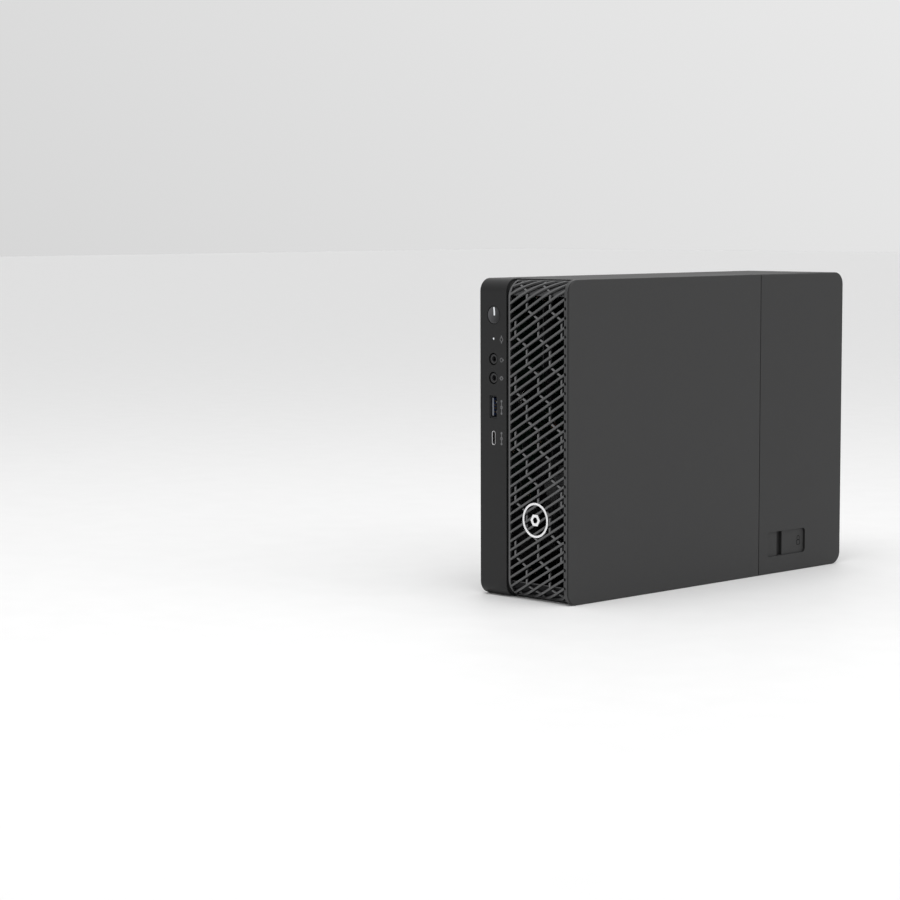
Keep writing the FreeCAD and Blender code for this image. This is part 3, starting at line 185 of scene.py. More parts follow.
POWDER = finish("powder_coat", (0.0175, 0.0176, 0.0179), 0.55, specular=0.42, grain=1500.0, bump=0.35,
                mottling=0.035, fleck=0.10)
SHELL = finish("textured_shell", (0.0167, 0.0168, 0.0171), 0.57, specular=0.42, grain=1700.0, bump=0.32,
               mottling=0.03, fleck=0.08)
STRIP = finish("strip_plastic", (0.0125, 0.0126, 0.0129), 0.42, specular=0.28, grain=2400.0, bump=0.12,
               mottling=0.03, fleck=0.05)
GRILLE = finish("grille_plastic", (0.088, 0.0885, 0.090), 0.48, grain=2200.0, bump=0.12, mottling=0.05,
                fleck=0.05, wear=0.4)
# Near-black copy of the grille plastic: painted shade for the deep links, the bar-end notch walls and the
# lower lining.
GRILLE_PAINTED_SHADE = finish("grille_painted_shade_plastic", (0.009, 0.009, 0.010), 0.7, specular=0.2, grain=2200.0,
                     bump=0.12, mottling=0.05)
GRILLE_LINING = finish("grille_lining_plastic", (0.085, 0.086, 0.088), 0.55, grain=2200.0, bump=0.12,
                       mottling=0.05)
BADGE = finish("badge_bright", (0.90, 0.90, 0.91), 0.3, metallic=0.2, grain=3000.0, bump=0.05, mottling=0.03)
# Satin metal for the power button's cap; the cap also gets a painted fall from light on the left to shade on
# the right.
BUTTON_SATIN_PAINTED_SHADE = finish("button_satin_painted_shade", (0.072, 0.072, 0.075), 0.30, metallic=0.75, grain=2600.0, bump=0.10,
                      mottling=0.05, streak=(1.0, 1.0, 12.0))
LIGHT = finish("light_pipe", (0.80, 0.82, 0.84), 0.35, grain=1500.0, bump=0.03, mottling=0.02, emission=0.12)
BLACK = finish("moulded_black", (0.014, 0.014, 0.015), 0.42, grain=1800.0, bump=0.14, mottling=0.10,
               fleck=0.1, wear=0.25)
FAN = finish("fan_black", (0.018, 0.018, 0.019), 0.38, grain=1300.0, bump=0.10, mottling=0.12, wear=0.2)
STEEL = finish("plated_steel", (0.62, 0.62, 0.63), 0.28, metallic=1.0, grain=900.0, bump=0.08, mottling=0.08,
               streak=(1.0, 8.0, 1.0), fleck=0.08)
ZINC = finish("zinc_steel", (0.55, 0.55, 0.54), 0.36, metallic=1.0, grain=420.0, bump=0.06, mottling=0.2,
              fleck=0.18)
BRASS = finish("turned_brass", (0.72, 0.52, 0.22), 0.28, metallic=1.0, grain=900.0, bump=0.08, mottling=0.08,
               streak=(14.0, 1.0, 1.0))
GOLD = finish("contact_gold", (0.86, 0.62, 0.25), 0.22, metallic=1.0, grain=1800.0, bump=0.04, mottling=0.06)
COPPER = finish("pipe_copper", (0.74, 0.36, 0.22), 0.26, metallic=1.0, grain=700.0, bump=0.06, mottling=0.12,
                streak=(1.0, 1.0, 0.3))
ALUMINIUM = finish("fin_aluminium", (0.72, 0.73, 0.74), 0.34, metallic=1.0, grain=900.0, bump=0.06,
                   mottling=0.06, streak=(1.0, 9.0, 1.0))
RUBBER = finish("foot_rubber", (0.012, 0.012, 0.012), 0.78, grain=1100.0, bump=0.3, mottling=0.1, fleck=0.1)
SLEEVE = finish("cable_sleeve", (0.016, 0.016, 0.017), 0.5, grain=2400.0, bump=0.2, mottling=0.1)
EPOXY = finish("chip_epoxy", (0.022, 0.022, 0.024), 0.5, grain=2600.0, bump=0.15, mottling=0.08, fleck=0.15)
NICKEL = finish("nickel_lid", (0.66, 0.65, 0.62), 0.24, metallic=1.0, grain=1200.0, bump=0.05, mottling=0.06)
CERAMIC = finish("ceramic_part", (0.30, 0.23, 0.16), 0.5, grain=2500.0, bump=0.05, mottling=0.25)
# Light grey: a painted highlight along the front edge of the USB-A tongue.
SOCKET_EDGE_PAINTED_HIGHLIGHT = finish("socket_edge_painted_highlight", (0.20, 0.21, 0.23), 0.35, grain=2200.0, bump=0.05, mottling=0.05)
DARK_METAL = finish("dark_plated", (0.035, 0.035, 0.038), 0.42, metallic=0.4, grain=1400.0, bump=0.08,
                    mottling=0.06)
# Blue tongue plastic darkened to navy: its own blue plus painted shade.
TONGUE_BLUE_PAINTED_SHADE = finish("socket_tongue_blue_painted_shade", (0.012, 0.020, 0.055), 0.4, grain=2200.0, bump=0.08, mottling=0.05)
SIGN = finish("printed_sign", (0.14, 0.14, 0.145), 0.55, grain=2500.0, bump=0.03, mottling=0.03)
RIM = finish("rim_plastic", (0.040, 0.0402, 0.041), 0.48, grain=2200.0, bump=0.12, mottling=0.05)
# Near-black, barely glossy: painted shade for the moulded padlock outline.
PADLOCK_PAINTED_SHADE = finish("moulded_sign_painted_shade", (0.003, 0.003, 0.003), 0.8, specular=0.06, grain=2500.0, bump=0.03,
                   mottling=0.03)
BOARD = circuit_board("board_dark", (0.010, 0.024, 0.016), (0.022, 0.055, 0.036))

SLOT_FINISH = {
    "painted_steel": POWDER, "tray_steel": POWDER, "bezel_plastic": STRIP, "grille_plastic": GRILLE,
    "cover_plastic": SHELL, "latch_plastic": SHELL, "badge_metal": BADGE, "button_plastic": BUTTON_SATIN_PAINTED_SHADE,
    "light_white": LIGHT, "socket_black": BLACK, "socket_metal": STEEL, "bracket_metal": ZINC,
    "screw_steel": ZINC, "insert_brass": BRASS, "foot_rubber": RUBBER, "board_green": BOARD,
    "chip_black": EPOXY, "processor_nickel": NICKEL, "fin_aluminium": ALUMINIUM, "pipe_copper": COPPER,
    "fan_plastic": FAN, "cable_sleeve": SLEEVE,
}


def dress_cad_nodes():
    """Every carried-over node gets the finish of its slot."""
    for part in frame["record"]["subparts"]:
        mesh = NODES[part["node"]].data
        mesh.materials.clear()
        mesh.materials.append(SLOT_FINISH[part["material_slot"]])


dress_cad_nodes()
SLOT_OF = {part["node"]: part["material_slot"] for part in frame["record"]["subparts"]}
BODY_OF = {node: body for body, members in frame["record"]["behaviour"]["bodies"].items() for node in members}


# ---------------------------------------------------------------- mesh helpers

def new_piece(name, mesh_data, body, slot, *materials, smooth_angle=35.0):
    """Turns a bmesh into a shaded piece that rides on a body."""
    bmesh.ops.recalc_face_normals(mesh_data, faces=mesh_data.faces)
    for face in mesh_data.faces:
        face.smooth = True
    for edge in mesh_data.edges:
        if len(edge.link_faces) == 2:
            edge.smooth = edge.calc_face_angle(0.0) < math.radians(smooth_angle)
    mesh = bpy.data.meshes.new(name)
    mesh_data.to_mesh(mesh)
    mesh_data.free()
    for material in materials:
        mesh.materials.append(material)
    piece = bpy.data.objects.new(name, mesh)
    bpy.context.scene.collection.objects.link(piece)
    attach(piece, body)
    return piece


def soften(piece, width, segments=2):
    """Rounds the sharp edges of a piece."""
    bevel = piece.modifiers.new("soft_edges", "BEVEL")
    bevel.width = width
    bevel.segments = segments
    bevel.limit_method = "ANGLE"
    bevel.angle_limit = math.radians(40)
    bevel.use_clamp_overlap = True
    even = piece.modifiers.new("even_shading", "WEIGHTED_NORMAL")
    even.weight = 100
    even.keep_sharp = True


def refine(node, width=0.25 * MM, segments=2):
    """A finer copy of a CAD node, joined up and with its sharp edges rounded, that stands for the node."""
    source = NODES[node]
    work = bmesh.new()
    work.from_mesh(source.data)
    bmesh.ops.remove_doubles(work, verts=work.verts, dist=0.002 * MM)
    bmesh.ops.dissolve_degenerate(work, dist=0.002 * MM, edges=work.edges)
    bmesh.ops.dissolve_limit(work, angle_limit=math.radians(0.5), verts=work.verts, edges=work.edges,
                             delimit={"NORMAL"})
    piece = new_piece(node + "_finish", work, BODY_OF[node], SLOT_OF[node], SLOT_FINISH[SLOT_OF[node]])
    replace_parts(piece, node)
    soften(piece, width, segments)
    return piece


def add_box(work, low, high, bevel=0.0, segments=2):
    """A box with rounded edges, added to a bmesh."""
    made = bmesh.ops.create_cube(work, size=1.0)["verts"]
    low, high = Vector(low), Vector(high)
    for vertex in made:
        vertex.co = Vector([low[k] + (vertex.co[k] + 0.5) * (high[k] - low[k]) for k in range(3)])
    if bevel:
        edges = {edge for vertex in made for edge in vertex.link_edges}
        bmesh.ops.bevel(work, geom=list(edges), offset=bevel, segments=segments, profile=0.5,
                        affect="EDGES", clamp_overlap=True)


def add_lathe(work, centre, axis, profile, steps=48, closed_end=True):
    """A turned shape: profile is (radius, distance along axis) pairs from one end to the other."""
    axis = Vector(axis).normalized()
    side = axis.orthogonal().normalized()
    other = axis.cross(side)
    rings = []
    for radius, along in profile:
        middle = Vector(centre) + axis * along
        angles = [math.tau * index / steps for index in range(steps)] if radius > 1e-9 else [0.0]
        rings.append([work.verts.new(middle + (side * math.cos(a) + other * math.sin(a)) * radius)
                      for a in angles])
    for lower, upper in zip(rings, rings[1:]):
        for index in range(steps):
            after = (index + 1) % steps
            corners = [lower[index % len(lower)], lower[after % len(lower)],
                       upper[after % len(upper)], upper[index % len(upper)]]
            unique = list(dict.fromkeys(corners))
            if len(unique) > 2:
                work.faces.new(unique)
    if closed_end:
        for ring in (rings[0], rings[-1]):
            if len(ring) > 2:
                work.faces.new(ring)


def join_loops(work, first, second):
    """Faces between two loops of vertices with the same count."""
    for k in range(len(first)):
        after = (k + 1) % len(first)
        work.faces.new([first[k], first[after], second[after], second[k]])


def close_between(work, near, far):
    """A closed solid between two loops of vertices."""
    work.faces.new(near)
    work.faces.new(far[::-1])
    for k in range(len(near)):
        after = (k + 1) % len(near)
        work.faces.new([near[k], far[k], far[after], near[after]])


def add_hoop(work, loops):
    """A closed tube through a ring of loops, each a list of places."""
    made = [[work.verts.new(place) for place in loop] for loop in loops]
    for first, second in zip(made, made[1:] + made[:1]):
        join_loops(work, first, second)


def add_slab(work, lower, upper):
    """A closed slab between two grids of places with the same rows and columns."""
    lower = [[work.verts.new(place) for place in row] for row in lower]
    upper = [[work.verts.new(place) for place in row] for row in upper]
    last_row, last_column = len(lower) - 1, len(lower[0]) - 1
    for i in range(last_row):
        for j in range(last_column):
            work.faces.new([lower[i][j], lower[i][j + 1], lower[i + 1][j + 1], lower[i + 1][j]])
            work.faces.new([upper[i][j], upper[i + 1][j], upper[i + 1][j + 1], upper[i][j + 1]])
        for j in (0, last_column):
            work.faces.new([lower[i][j], lower[i + 1][j], upper[i + 1][j], upper[i][j]])
    for j in range(last_column):
        for i in (0, last_row):
            work.faces.new([lower[i][j], upper[i][j], upper[i][j + 1], lower[i][j + 1]])


def add_prism(work, outline, y0, y1):
    """An XZ outline carried from y0 to y1."""
    close_between(work, [work.verts.new((x, y0, z)) for x, z in outline],
                  [work.verts.new((x, y1, z)) for x, z in outline])


def ellipse_points(x, z, radius_x, radius_z, steps):
    return [(x + radius_x * math.cos(math.tau * k / steps), z + radius_z * math.sin(math.tau * k / steps))
            for k in range(steps)]


def rounded_rectangle(x, z, half_x, half_z, radius, steps):
    """Points round a rectangle whose corners are arcs of so many steps."""
    points = []
    for side_x, side_z, start in ((1, 1, 0), (-1, 1, 90), (-1, -1, 180), (1, -1, 270)):
        for k in range(steps + 1):
            angle = math.radians(start + 90 * k / steps)
            points.append((x + side_x * (half_x - radius) + radius * math.cos(angle),
                           z + side_z * (half_z - radius) + radius * math.sin(angle)))
    return points


# ---------------------------------------------------------------- stage and camera

# Lens in mm on a 36 mm wide sensor; turn is yaw, pitch and roll.
CAMERA_LENS = 97.22
CAMERA_TURN = (math.radians(46.32), math.radians(5.5), math.radians(-0.169))
CAMERA_PLACE = (RIGHT + 1.0515, FRONT - 1.1076, 0.2472)


def place_camera():
    """The main view: the camera stands front right, a little above the middle, and is nearly level."""
    yaw, pitch, roll = CAMERA_TURN
    forward = Vector((-math.sin(yaw) * math.cos(pitch), math.cos(yaw) * math.cos(pitch), -math.sin(pitch)))
    level = Vector((math.cos(yaw), math.sin(yaw), 0))
    upright = level.cross(forward)
    right = level * math.cos(roll) + upright * math.sin(roll)
    up = upright * math.cos(roll) - level * math.sin(roll)
    data = bpy.data.cameras.new("camera")
    data.lens = CAMERA_LENS
    data.sensor_width = 36.0
    data.clip_end = 50.0
    camera = bpy.data.objects.new("camera", data)
    turn = Matrix((right, up, -forward)).transposed().to_4x4()
    camera.matrix_world = Matrix.Translation(CAMERA_PLACE) @ turn
    bpy.context.scene.collection.objects.link(camera)
    bpy.context.scene.camera = camera


def area_light(name, place, aim, width, height, power):
    data = bpy.data.lights.new(name, "AREA")
    data.shape = "RECTANGLE"
    data.size = width
    data.size_y = height
    data.energy = power
    light = bpy.data.objects.new(name, data)
    light.location = place
    light.rotation_euler = (Vector(aim) - Vector(place)).to_track_quat("-Z", "Y").to_euler()
    bpy.context.scene.collection.objects.link(light)


def build_stage():
    """Plain pale floor, surroundings that are brightest above and behind right, and two soft lamps."""
    mesh = bpy.data.meshes.new("floor")
    reach = 12.0
    mesh.from_pydata([(-reach, -reach, 0), (reach, -reach, 0), (reach, reach, 0), (-reach, reach, 0)], [],
                     [(0, 1, 2, 3)])
    floor = bpy.data.objects.new("floor", mesh)
    bpy.context.scene.collection.objects.link(floor)
    mesh.materials.append(finish("floor_pale", (0.82, 0.82, 0.82), 0.6, grain=60.0, bump=0.0, mottling=0.01))
    world = bpy.data.worlds.new("studio")
    world.use_nodes = True
    tree = world.node_tree
    around = add_node(tree, "ShaderNodeTexCoord")
    lean = add_node(tree, "ShaderNodeVectorMath", operation="DOT_PRODUCT")
    tree.links.new(around.outputs["Generated"], lean.inputs[0])
    lean.inputs[1].default_value = Vector((0.42, 0.52, 0.74)).normalized()
    level = ramp(tree, lean.outputs["Value"], -1.0, 0.7, 0.30, 1.0)
    tree.links.new(level, tree.nodes["Background"].inputs["Strength"])
    tree.nodes["Background"].inputs["Color"].default_value = (1, 1, 1, 1)
    bpy.context.scene.world = world
    bpy.context.scene.view_settings.view_transform = "Standard"
    area_light("top_light", (0.15, -0.45, 1.5), (0, 0, 0.1), 1.0, 1.0, 9)
    area_light("side_light", (1.7, 0.5, 1.1), (0, 0, 0.1), 0.9, 0.9, 5)


place_camera()
build_stage()

# ---------------------------------------------------------------- grille

GRILLE_X0, GRILLE_X1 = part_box("front_grille")[0].x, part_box("front_grille")[1].x
GRILLE_Y0, GRILLE_Y1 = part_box("front_grille")[0].y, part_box("front_grille")[1].y
GRILLE_RADIUS = 12.0 * MM
BAR_PITCH = 5.93 * MM
BAR_WIDTH = 1.3 * MM
LINK_WIDTH = 1.3 * MM
BAR_SLOPE = math.tan(math.radians(29.6))
COLUMN_PITCH = 10.25 * MM
LATTICE_X = RIGHT - 27.94 * MM
LATTICE_BASE = 104.45 * MM - LATTICE_X * BAR_SLOPE
ARC_LOW = 0.4 * MM + GRILLE_RADIUS
ARC_HIGH = TOP - 0.4 * MM - GRILLE_RADIUS
ARC_LENGTH = GRILLE_RADIUS * math.acos(1 - (GRILLE_Y1 - GRILLE_Y0) / GRILLE_RADIUS)
SLOT_LEFT = GRILLE_X0 + 1.3 * MM
SLOT_RIGHT = GRILLE_X1 - 0.55 * MM
SLOT_END = ARC_LENGTH - 0.9 * MM
# Enough bars for the whole grille; the ones beyond its ends are clipped away.
BARS = range(-24, 26)
COLUMNS = range(-4, 5)
BAR_DEPTH = 1.3 * MM
LINING_DEPTH = (2.2 * MM, 2.8 * MM)
PIT_RADIUS_X = 1.15 * MM
PIT_RADIUS_S = 1.25 * MM


def grille_point(x, s, depth):
    """Place on the grille at x, at length s up its curved face, a depth under its surface."""
    radius = GRILLE_RADIUS - depth
    if s > ARC_HIGH:
        angle = (s - ARC_HIGH) / GRILLE_RADIUS
        return Vector((x, GRILLE_Y0 + GRILLE_RADIUS - radius * math.cos(angle),
                       ARC_HIGH + radius * math.sin(angle)))
    if s < ARC_LOW:
        angle = (ARC_LOW - s) / GRILLE_RADIUS
        return Vector((x, GRILLE_Y0 + GRILLE_RADIUS - radius * math.cos(angle),
                       ARC_LOW - radius * math.sin(angle)))
    return Vector((x, GRILLE_Y0 + depth, s))


def clip(points, limit, keep_below):
    """The part of an (x, s) polygon below or above a limit of s."""
    sign = 1 if keep_below else -1
    kept = []
    for (x0, s0), (x1, s1) in zip(points, points[1:] + points[:1]):
        inside0, inside1 = sign * (limit - s0) >= 0, sign * (limit - s1) >= 0
        if inside0:
            kept.append((x0, s0))
        if inside0 != inside1:
            share = (limit - s0) / (s1 - s0)
            kept.append((x0 + share * (x1 - x0), limit))
    return kept


def area_of(points):
    return abs(sum(x0 * s1 - x1 * s0 for (x0, s0), (x1, s1) in zip(points, points[1:] + points[:1]))) / 2


def links_in_gap(gap):
    """Links that cross the gap above bar number gap: (x, leaning) pairs in order of x."""
    links = []
    for column in COLUMNS:
        x = LATTICE_X + column * COLUMN_PITCH
        place = (gap + 4 * column) % 6
        if place in (0, 5):
            links.append((x, False))
        elif place == 4:
            links.append((x + COLUMN_PITCH / 4, True))
        elif place == 3:
            links.append((x + COLUMN_PITCH * 3 / 4, True))
    return sorted(links)


def link_corner(link, side, height, middle, half_width):
    """Where a bar's edge line, x * slope + height, meets one side of a link."""
    x, leaning = link
    if not leaning:
        x += side * half_width
        return x, x * BAR_SLOPE + height
    x_side = x + side * 2 * half_width
    x_meet = (x * BAR_SLOPE + middle + x_side * BAR_SLOPE - height) / (2 * BAR_SLOPE)
    return x_meet, x_meet * BAR_SLOPE + height


def slot_shapes(with_links, bar_width, link_width, link_share=1.0):
    """Openings between the bars, as (x, s) polygons. Links reach link_share of the way up each gap."""
    half_bar = bar_width / 2 / math.cos(math.atan(BAR_SLOPE))
    s_low, s_high = ARC_LOW - SLOT_END, ARC_HIGH + SLOT_END
    shapes = []
    for gap in BARS:
        low = LATTICE_BASE + gap * BAR_PITCH + half_bar
        high = LATTICE_BASE + (gap + 1) * BAR_PITCH - half_bar
        middle = (low + high) / 2
        tip = low + link_share * (high - low)
        inner = []
        if with_links:
            inner = [k for k in links_in_gap(gap) if SLOT_LEFT + 2 * MM < k[0] < SLOT_RIGHT - 2 * MM]
        stops = [(SLOT_LEFT - link_width / 2, False)] + inner + [(SLOT_RIGHT + link_width / 2, False)]
        pieces = []
        for left, right in zip(stops, stops[1:]):
            pieces.append([link_corner(left, 1, low, middle, link_width / 2),
                           link_corner(right, -1, low, middle, link_width / 2),
                           link_corner(right, -1, tip, middle, link_width / 2),
                           link_corner(left, 1, tip, middle, link_width / 2)])
        if link_share < 1.0:
            pieces.append([link_corner(stops[0], 1, tip - 0.02 * MM, middle, link_width / 2),
                           link_corner(stops[-1], -1, tip - 0.02 * MM, middle, link_width / 2),
                           link_corner(stops[-1], -1, high, middle, link_width / 2),
                           link_corner(stops[0], 1, high, middle, link_width / 2)])
        for shape in pieces:
            shape = clip(clip(shape, s_high, True), s_low, False)
            if len(shape) > 2 and area_of(shape) > 0.3 * MM * MM:
                shapes.append(shape)
    return shapes


def bar_end_pits():
    """Rounded notches where the bars meet the right rim."""
    pits = []
    for bar in BARS:
        x = SLOT_RIGHT + 0.95 * MM
        s = x * BAR_SLOPE + LATTICE_BASE + bar * BAR_PITCH - 0.5 * MM
        if ARC_LOW - SLOT_END + MM < s < ARC_HIGH + SLOT_END - MM:
            pits.append(ellipse_points(x, s, PIT_RADIUS_X, PIT_RADIUS_S, 14))
    return pits


def colour_rim(bezel):
    """Gives the rim beside the bars the tone of the grille."""
    work = bmesh.new()
    work.from_mesh(bezel.data)
    border = GRILLE_X1 + 0.01 * MM
    bmesh.ops.bisect_plane(work, geom=work.verts[:] + work.edges[:] + work.faces[:], dist=1e-8,
                           plane_co=(border, 0, 0), plane_no=(1, 0, 0))
    bezel.data.materials.append(RIM)
    for face in work.faces:
        if face.calc_center_median().x > border and face.normal.x < 0.7:
            face.material_index = len(bezel.data.materials) - 1
    work.to_mesh(bezel.data)
    work.free()


def cut_rim_notches(bezel):
    """Carries the rounded notches at the bar ends into the rim beside the grille; their walls take the
    near-black grille material, as painted shade.
    """
    work = bmesh.new()
    for pit in bar_end_pits():
        close_between(work, [work.verts.new(grille_point(x, s, -1.5 * MM)) for x, s in pit],
                      [work.verts.new(grille_point(x, s, LINING_DEPTH[0])) for x, s in pit])
    bmesh.ops.recalc_face_normals(work, faces=work.faces)
    mesh = bpy.data.meshes.new("rim_notch_shapes")
    work.to_mesh(mesh)
    work.free()
    mesh.materials.append(GRILLE_PAINTED_SHADE)
    cutter = bpy.data.objects.new("rim_notch_shapes", mesh)
    bpy.context.scene.collection.objects.link(cutter)
    notch = bezel.modifiers.new("notches", "BOOLEAN")
    notch.operation, notch.solver, notch.object = "DIFFERENCE", "EXACT", cutter
    notch.material_mode = "TRANSFER"
    bpy.context.view_layer.update()
    cut = bpy.data.meshes.new_from_object(bezel.evaluated_get(bpy.context.evaluated_depsgraph_get()))
    bezel.modifiers.remove(notch)
    bezel.data = cut
    bpy.data.objects.remove(cutter)
    bpy.data.meshes.remove(mesh)


def add_curved_sheet(work, outline, holes, depth0, depth1):
    """A plate that follows the grille's face between two depths, with holes cut through it."""
    points, faces = [], []
    for loop in [outline] + holes:
        faces.append(list(range(len(points), len(points) + len(loop))))
        points += [Vector(p) for p in loop]
    edges = []
    low, high = min(p[1] for p in outline), max(p[1] for p in outline)
    left, right = min(p[0] for p in outline), max(p[0] for p in outline)
    steps = 14
    for k in range(steps + 1):
        for s in (ARC_LOW - k * ARC_LENGTH / steps, ARC_HIGH + k * ARC_LENGTH / steps):
            if low + 1e-6 < s < high - 1e-6:
                edges.append((len(points), len(points) + 1))
                points += [Vector((left, s)), Vector((right, s))]
    found, _, triangles, _, _, sources = delaunay_2d_cdt(points, edges, faces, 1, 1e-7)
    kept = [triangle for triangle, source in zip(triangles, sources) if source == [0]]
    used = sorted({index for triangle in kept for index in triangle})
    front = {i: work.verts.new(grille_point(found[i].x, found[i].y, depth0)) for i in used}
    back = {i: work.verts.new(grille_point(found[i].x, found[i].y, depth1)) for i in used}
    border = {}
    for triangle in kept:
        work.faces.new([front[i] for i in triangle])
        work.faces.new([back[i] for i in reversed(triangle)])
        border.update(dict.fromkeys(zip(triangle, triangle[1:] + triangle[:1])))
    for a, b in border:
        if (b, a) not in border:
            work.faces.new([front[b], front[a], back[a], back[b]])


def grille_outline(left, right, low, high):
    return [(left, low), (right, low), (right, high), (left, high)]


def build_grille():
    """Bars notched at the right rim, short links set back between them, and lined ends. The deeper links and
    most of the lower lining are near black as painted shade.
    """
    low, high = ARC_LOW - ARC_LENGTH, ARC_HIGH + ARC_LENGTH
    work = bmesh.new()
    add_curved_sheet(work, grille_outline(GRILLE_X0, GRILLE_X1, low, high),
                     slot_shapes(False, BAR_WIDTH, 0.0) + bar_end_pits(), 0.0, BAR_DEPTH)
    bars = new_piece("grille_bars", work, "chassis", "grille_plastic", GRILLE)
    soften(bars, 0.22 * MM)
    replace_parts(bars, "front_grille")
    # The deep links are near black as painted shade; the short links in front keep the grille's own tone.
    layers = [("grille_short_links", 0.55, 1.45, 0.70, GRILLE, bar_end_pits()),
              ("grille_deep_links", 1.4, 2.1, 1.0, GRILLE_PAINTED_SHADE, [])]
    for name, depth0, depth1, share, material, pits in layers:
        work = bmesh.new()
        slots = slot_shapes(True, BAR_WIDTH - 0.12 * MM, LINK_WIDTH - 0.1 * MM, share)
        add_curved_sheet(work, grille_outline(GRILLE_X0 + 0.05 * MM, GRILLE_X1 - 0.05 * MM, low, high),
                         slots + pits, depth0 * MM, depth1 * MM)
        layer = new_piece(name, work, "chassis", "grille_plastic", material)
        soften(layer, 0.12 * MM, 1)
    # The lower lining is near black as painted shade, except a strip along its top edge; that strip and the
    # upper lining keep the grille's own tone.
    linings = [("grille_lining_low", low, ARC_LOW - 2.2 * MM, GRILLE_PAINTED_SHADE),
               ("grille_lining_edge", ARC_LOW - 2.2 * MM, ARC_LOW - 1.5 * MM, GRILLE_LINING),
               ("grille_lining_high", ARC_HIGH + 2.2 * MM, high, GRILLE_LINING)]
    for name, s0, s1, material in linings:
        work = bmesh.new()
        add_curved_sheet(work, grille_outline(GRILLE_X0 + 0.1 * MM, GRILLE_X1 - 0.1 * MM, s0, s1), [],
                         *LINING_DEPTH)
        new_piece(name, work, "chassis", "grille_plastic", material)


build_grille()

# ---------------------------------------------------------------- outer pieces

def build_bezel():
    """The bezel, its face set back a hair so that the printed signs lie level with the CAD's face."""
    bezel = refine("front_bezel", 0.2 * MM)
    bezel.modifiers.clear()
    colour_rim(bezel)
    cut_rim_notches(bezel)
    soften(bezel, 0.2 * MM)
    set_back = FRONT + 0.02 * MM
    for vertex in bezel.data.vertices:
        vertex.co.y = max(vertex.co.y, set_back)
    for face in bezel.data.polygons:
        if all(bezel.data.vertices[index].co.y < set_back + 1e-7 for index in face.vertices):
            face.use_smooth = False


build_bezel()
refine("side_cover", 0.15 * MM)
refine("cable_cover", 0.3 * MM)
refine("chassis_tray", 0.2 * MM)
refine("release_latch", 0.25 * MM)
refine("side_feet", 0.3 * MM)
for fine_node in ("cover_thumbscrew", "graphics_bracket", "graphics_outputs", "graphics_shroud",
                  "display_sockets", "rear_usb_blocks", "network_socket", "power_inlet", "fan_frame",
                  "air_duct", "speaker", "memory_sockets", "coin_cell", "drive_heat_spreader",
                  "graphics_fan_base", "latch_guide"):
    refine(fine_node, 0.15 * MM)


def middle_of(node):
    corner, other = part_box(node)
    return (corner + other) / 2


def add_boxes(name, boxes, bevel, slot, material):
    """One piece of the chassis made of boxes, each a pair of corners."""
    work = bmesh.new()
    for low, high in boxes:
        add_box(work, low, high, bevel)
    return new_piece(name, work, "chassis", slot, material)


# ---------------------------------------------------------------- front strip

STRIP_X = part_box("front_usb_a")[1].x - 3.1 * MM
BUTTON = middle_of("power_button")
CAP_RADIUS = 5.7 * MM


def paint_light_and_shade_across(material, centre_x, half_width, left, right):
    """Multiplies a finish's colour by a factor that goes evenly from left to right, whatever the light:
    painted light on one side and painted shade on the other.
    """
    tree = material.node_tree
    base = tree.nodes["Principled BSDF"].inputs["Base Color"]
    parts = add_node(tree, "ShaderNodeSeparateXYZ")
    tree.links.new(add_node(tree, "ShaderNodeTexCoord").outputs["Object"], parts.inputs[0])
    level = ramp(tree, parts.outputs["X"], centre_x - half_width, centre_x + half_width, left, right)
    shade = add_node(tree, "ShaderNodeVectorMath", operation="SCALE")
    tree.links.new(base.links[0].from_socket, shade.inputs[0])
    tree.links.new(level, shade.inputs["Scale"])
    tree.links.new(shade.outputs["Vector"], base)


def dish_depth(radius):
    """How far the button's face lies back at a radius: most in the middle, none at the rim."""
    share = min(1.0, radius / (CAP_RADIUS - 0.45 * MM))
    return 0.45 * MM * (1 - share * share)


def build_power_button():
    """Dished satin cap with a rounded rim, and its flange and stem."""
    low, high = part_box("power_button")
    length = high.y - low.y
    flange_radius = (high.x - low.x) / 2
    stem_radius = 1.8 * MM
    rings = 10
    face_radii = [CAP_RADIUS * 0.93 * k / rings for k in range(rings + 1)]
    profile = [(radius, dish_depth(radius)) for radius in face_radii]
    profile += [(CAP_RADIUS - 0.12 * MM, 0.10 * MM), (CAP_RADIUS, 0.32 * MM), (CAP_RADIUS, 2.6 * MM),
                (flange_radius, 2.62 * MM), (flange_radius, 4.0 * MM), (stem_radius, 4.02 * MM),
                (stem_radius, length), (0.0, length)]
    work = bmesh.new()
    add_lathe(work, (BUTTON.x, low.y, BUTTON.z), (0, 1, 0), profile, 96)
    # The cap's colour is scaled by 1.75 at its left edge down to 0.25 at its right: painted light and painted
    # shade.
    paint_light_and_shade_across(BUTTON_SATIN_PAINTED_SHADE, BUTTON.x, CAP_RADIUS, 1.75, 0.25)
    cap = new_piece("button_cap", work, "power_button", "button_plastic", BUTTON_SATIN_PAINTED_SHADE, smooth_angle=50)
    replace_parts(cap, "power_button")


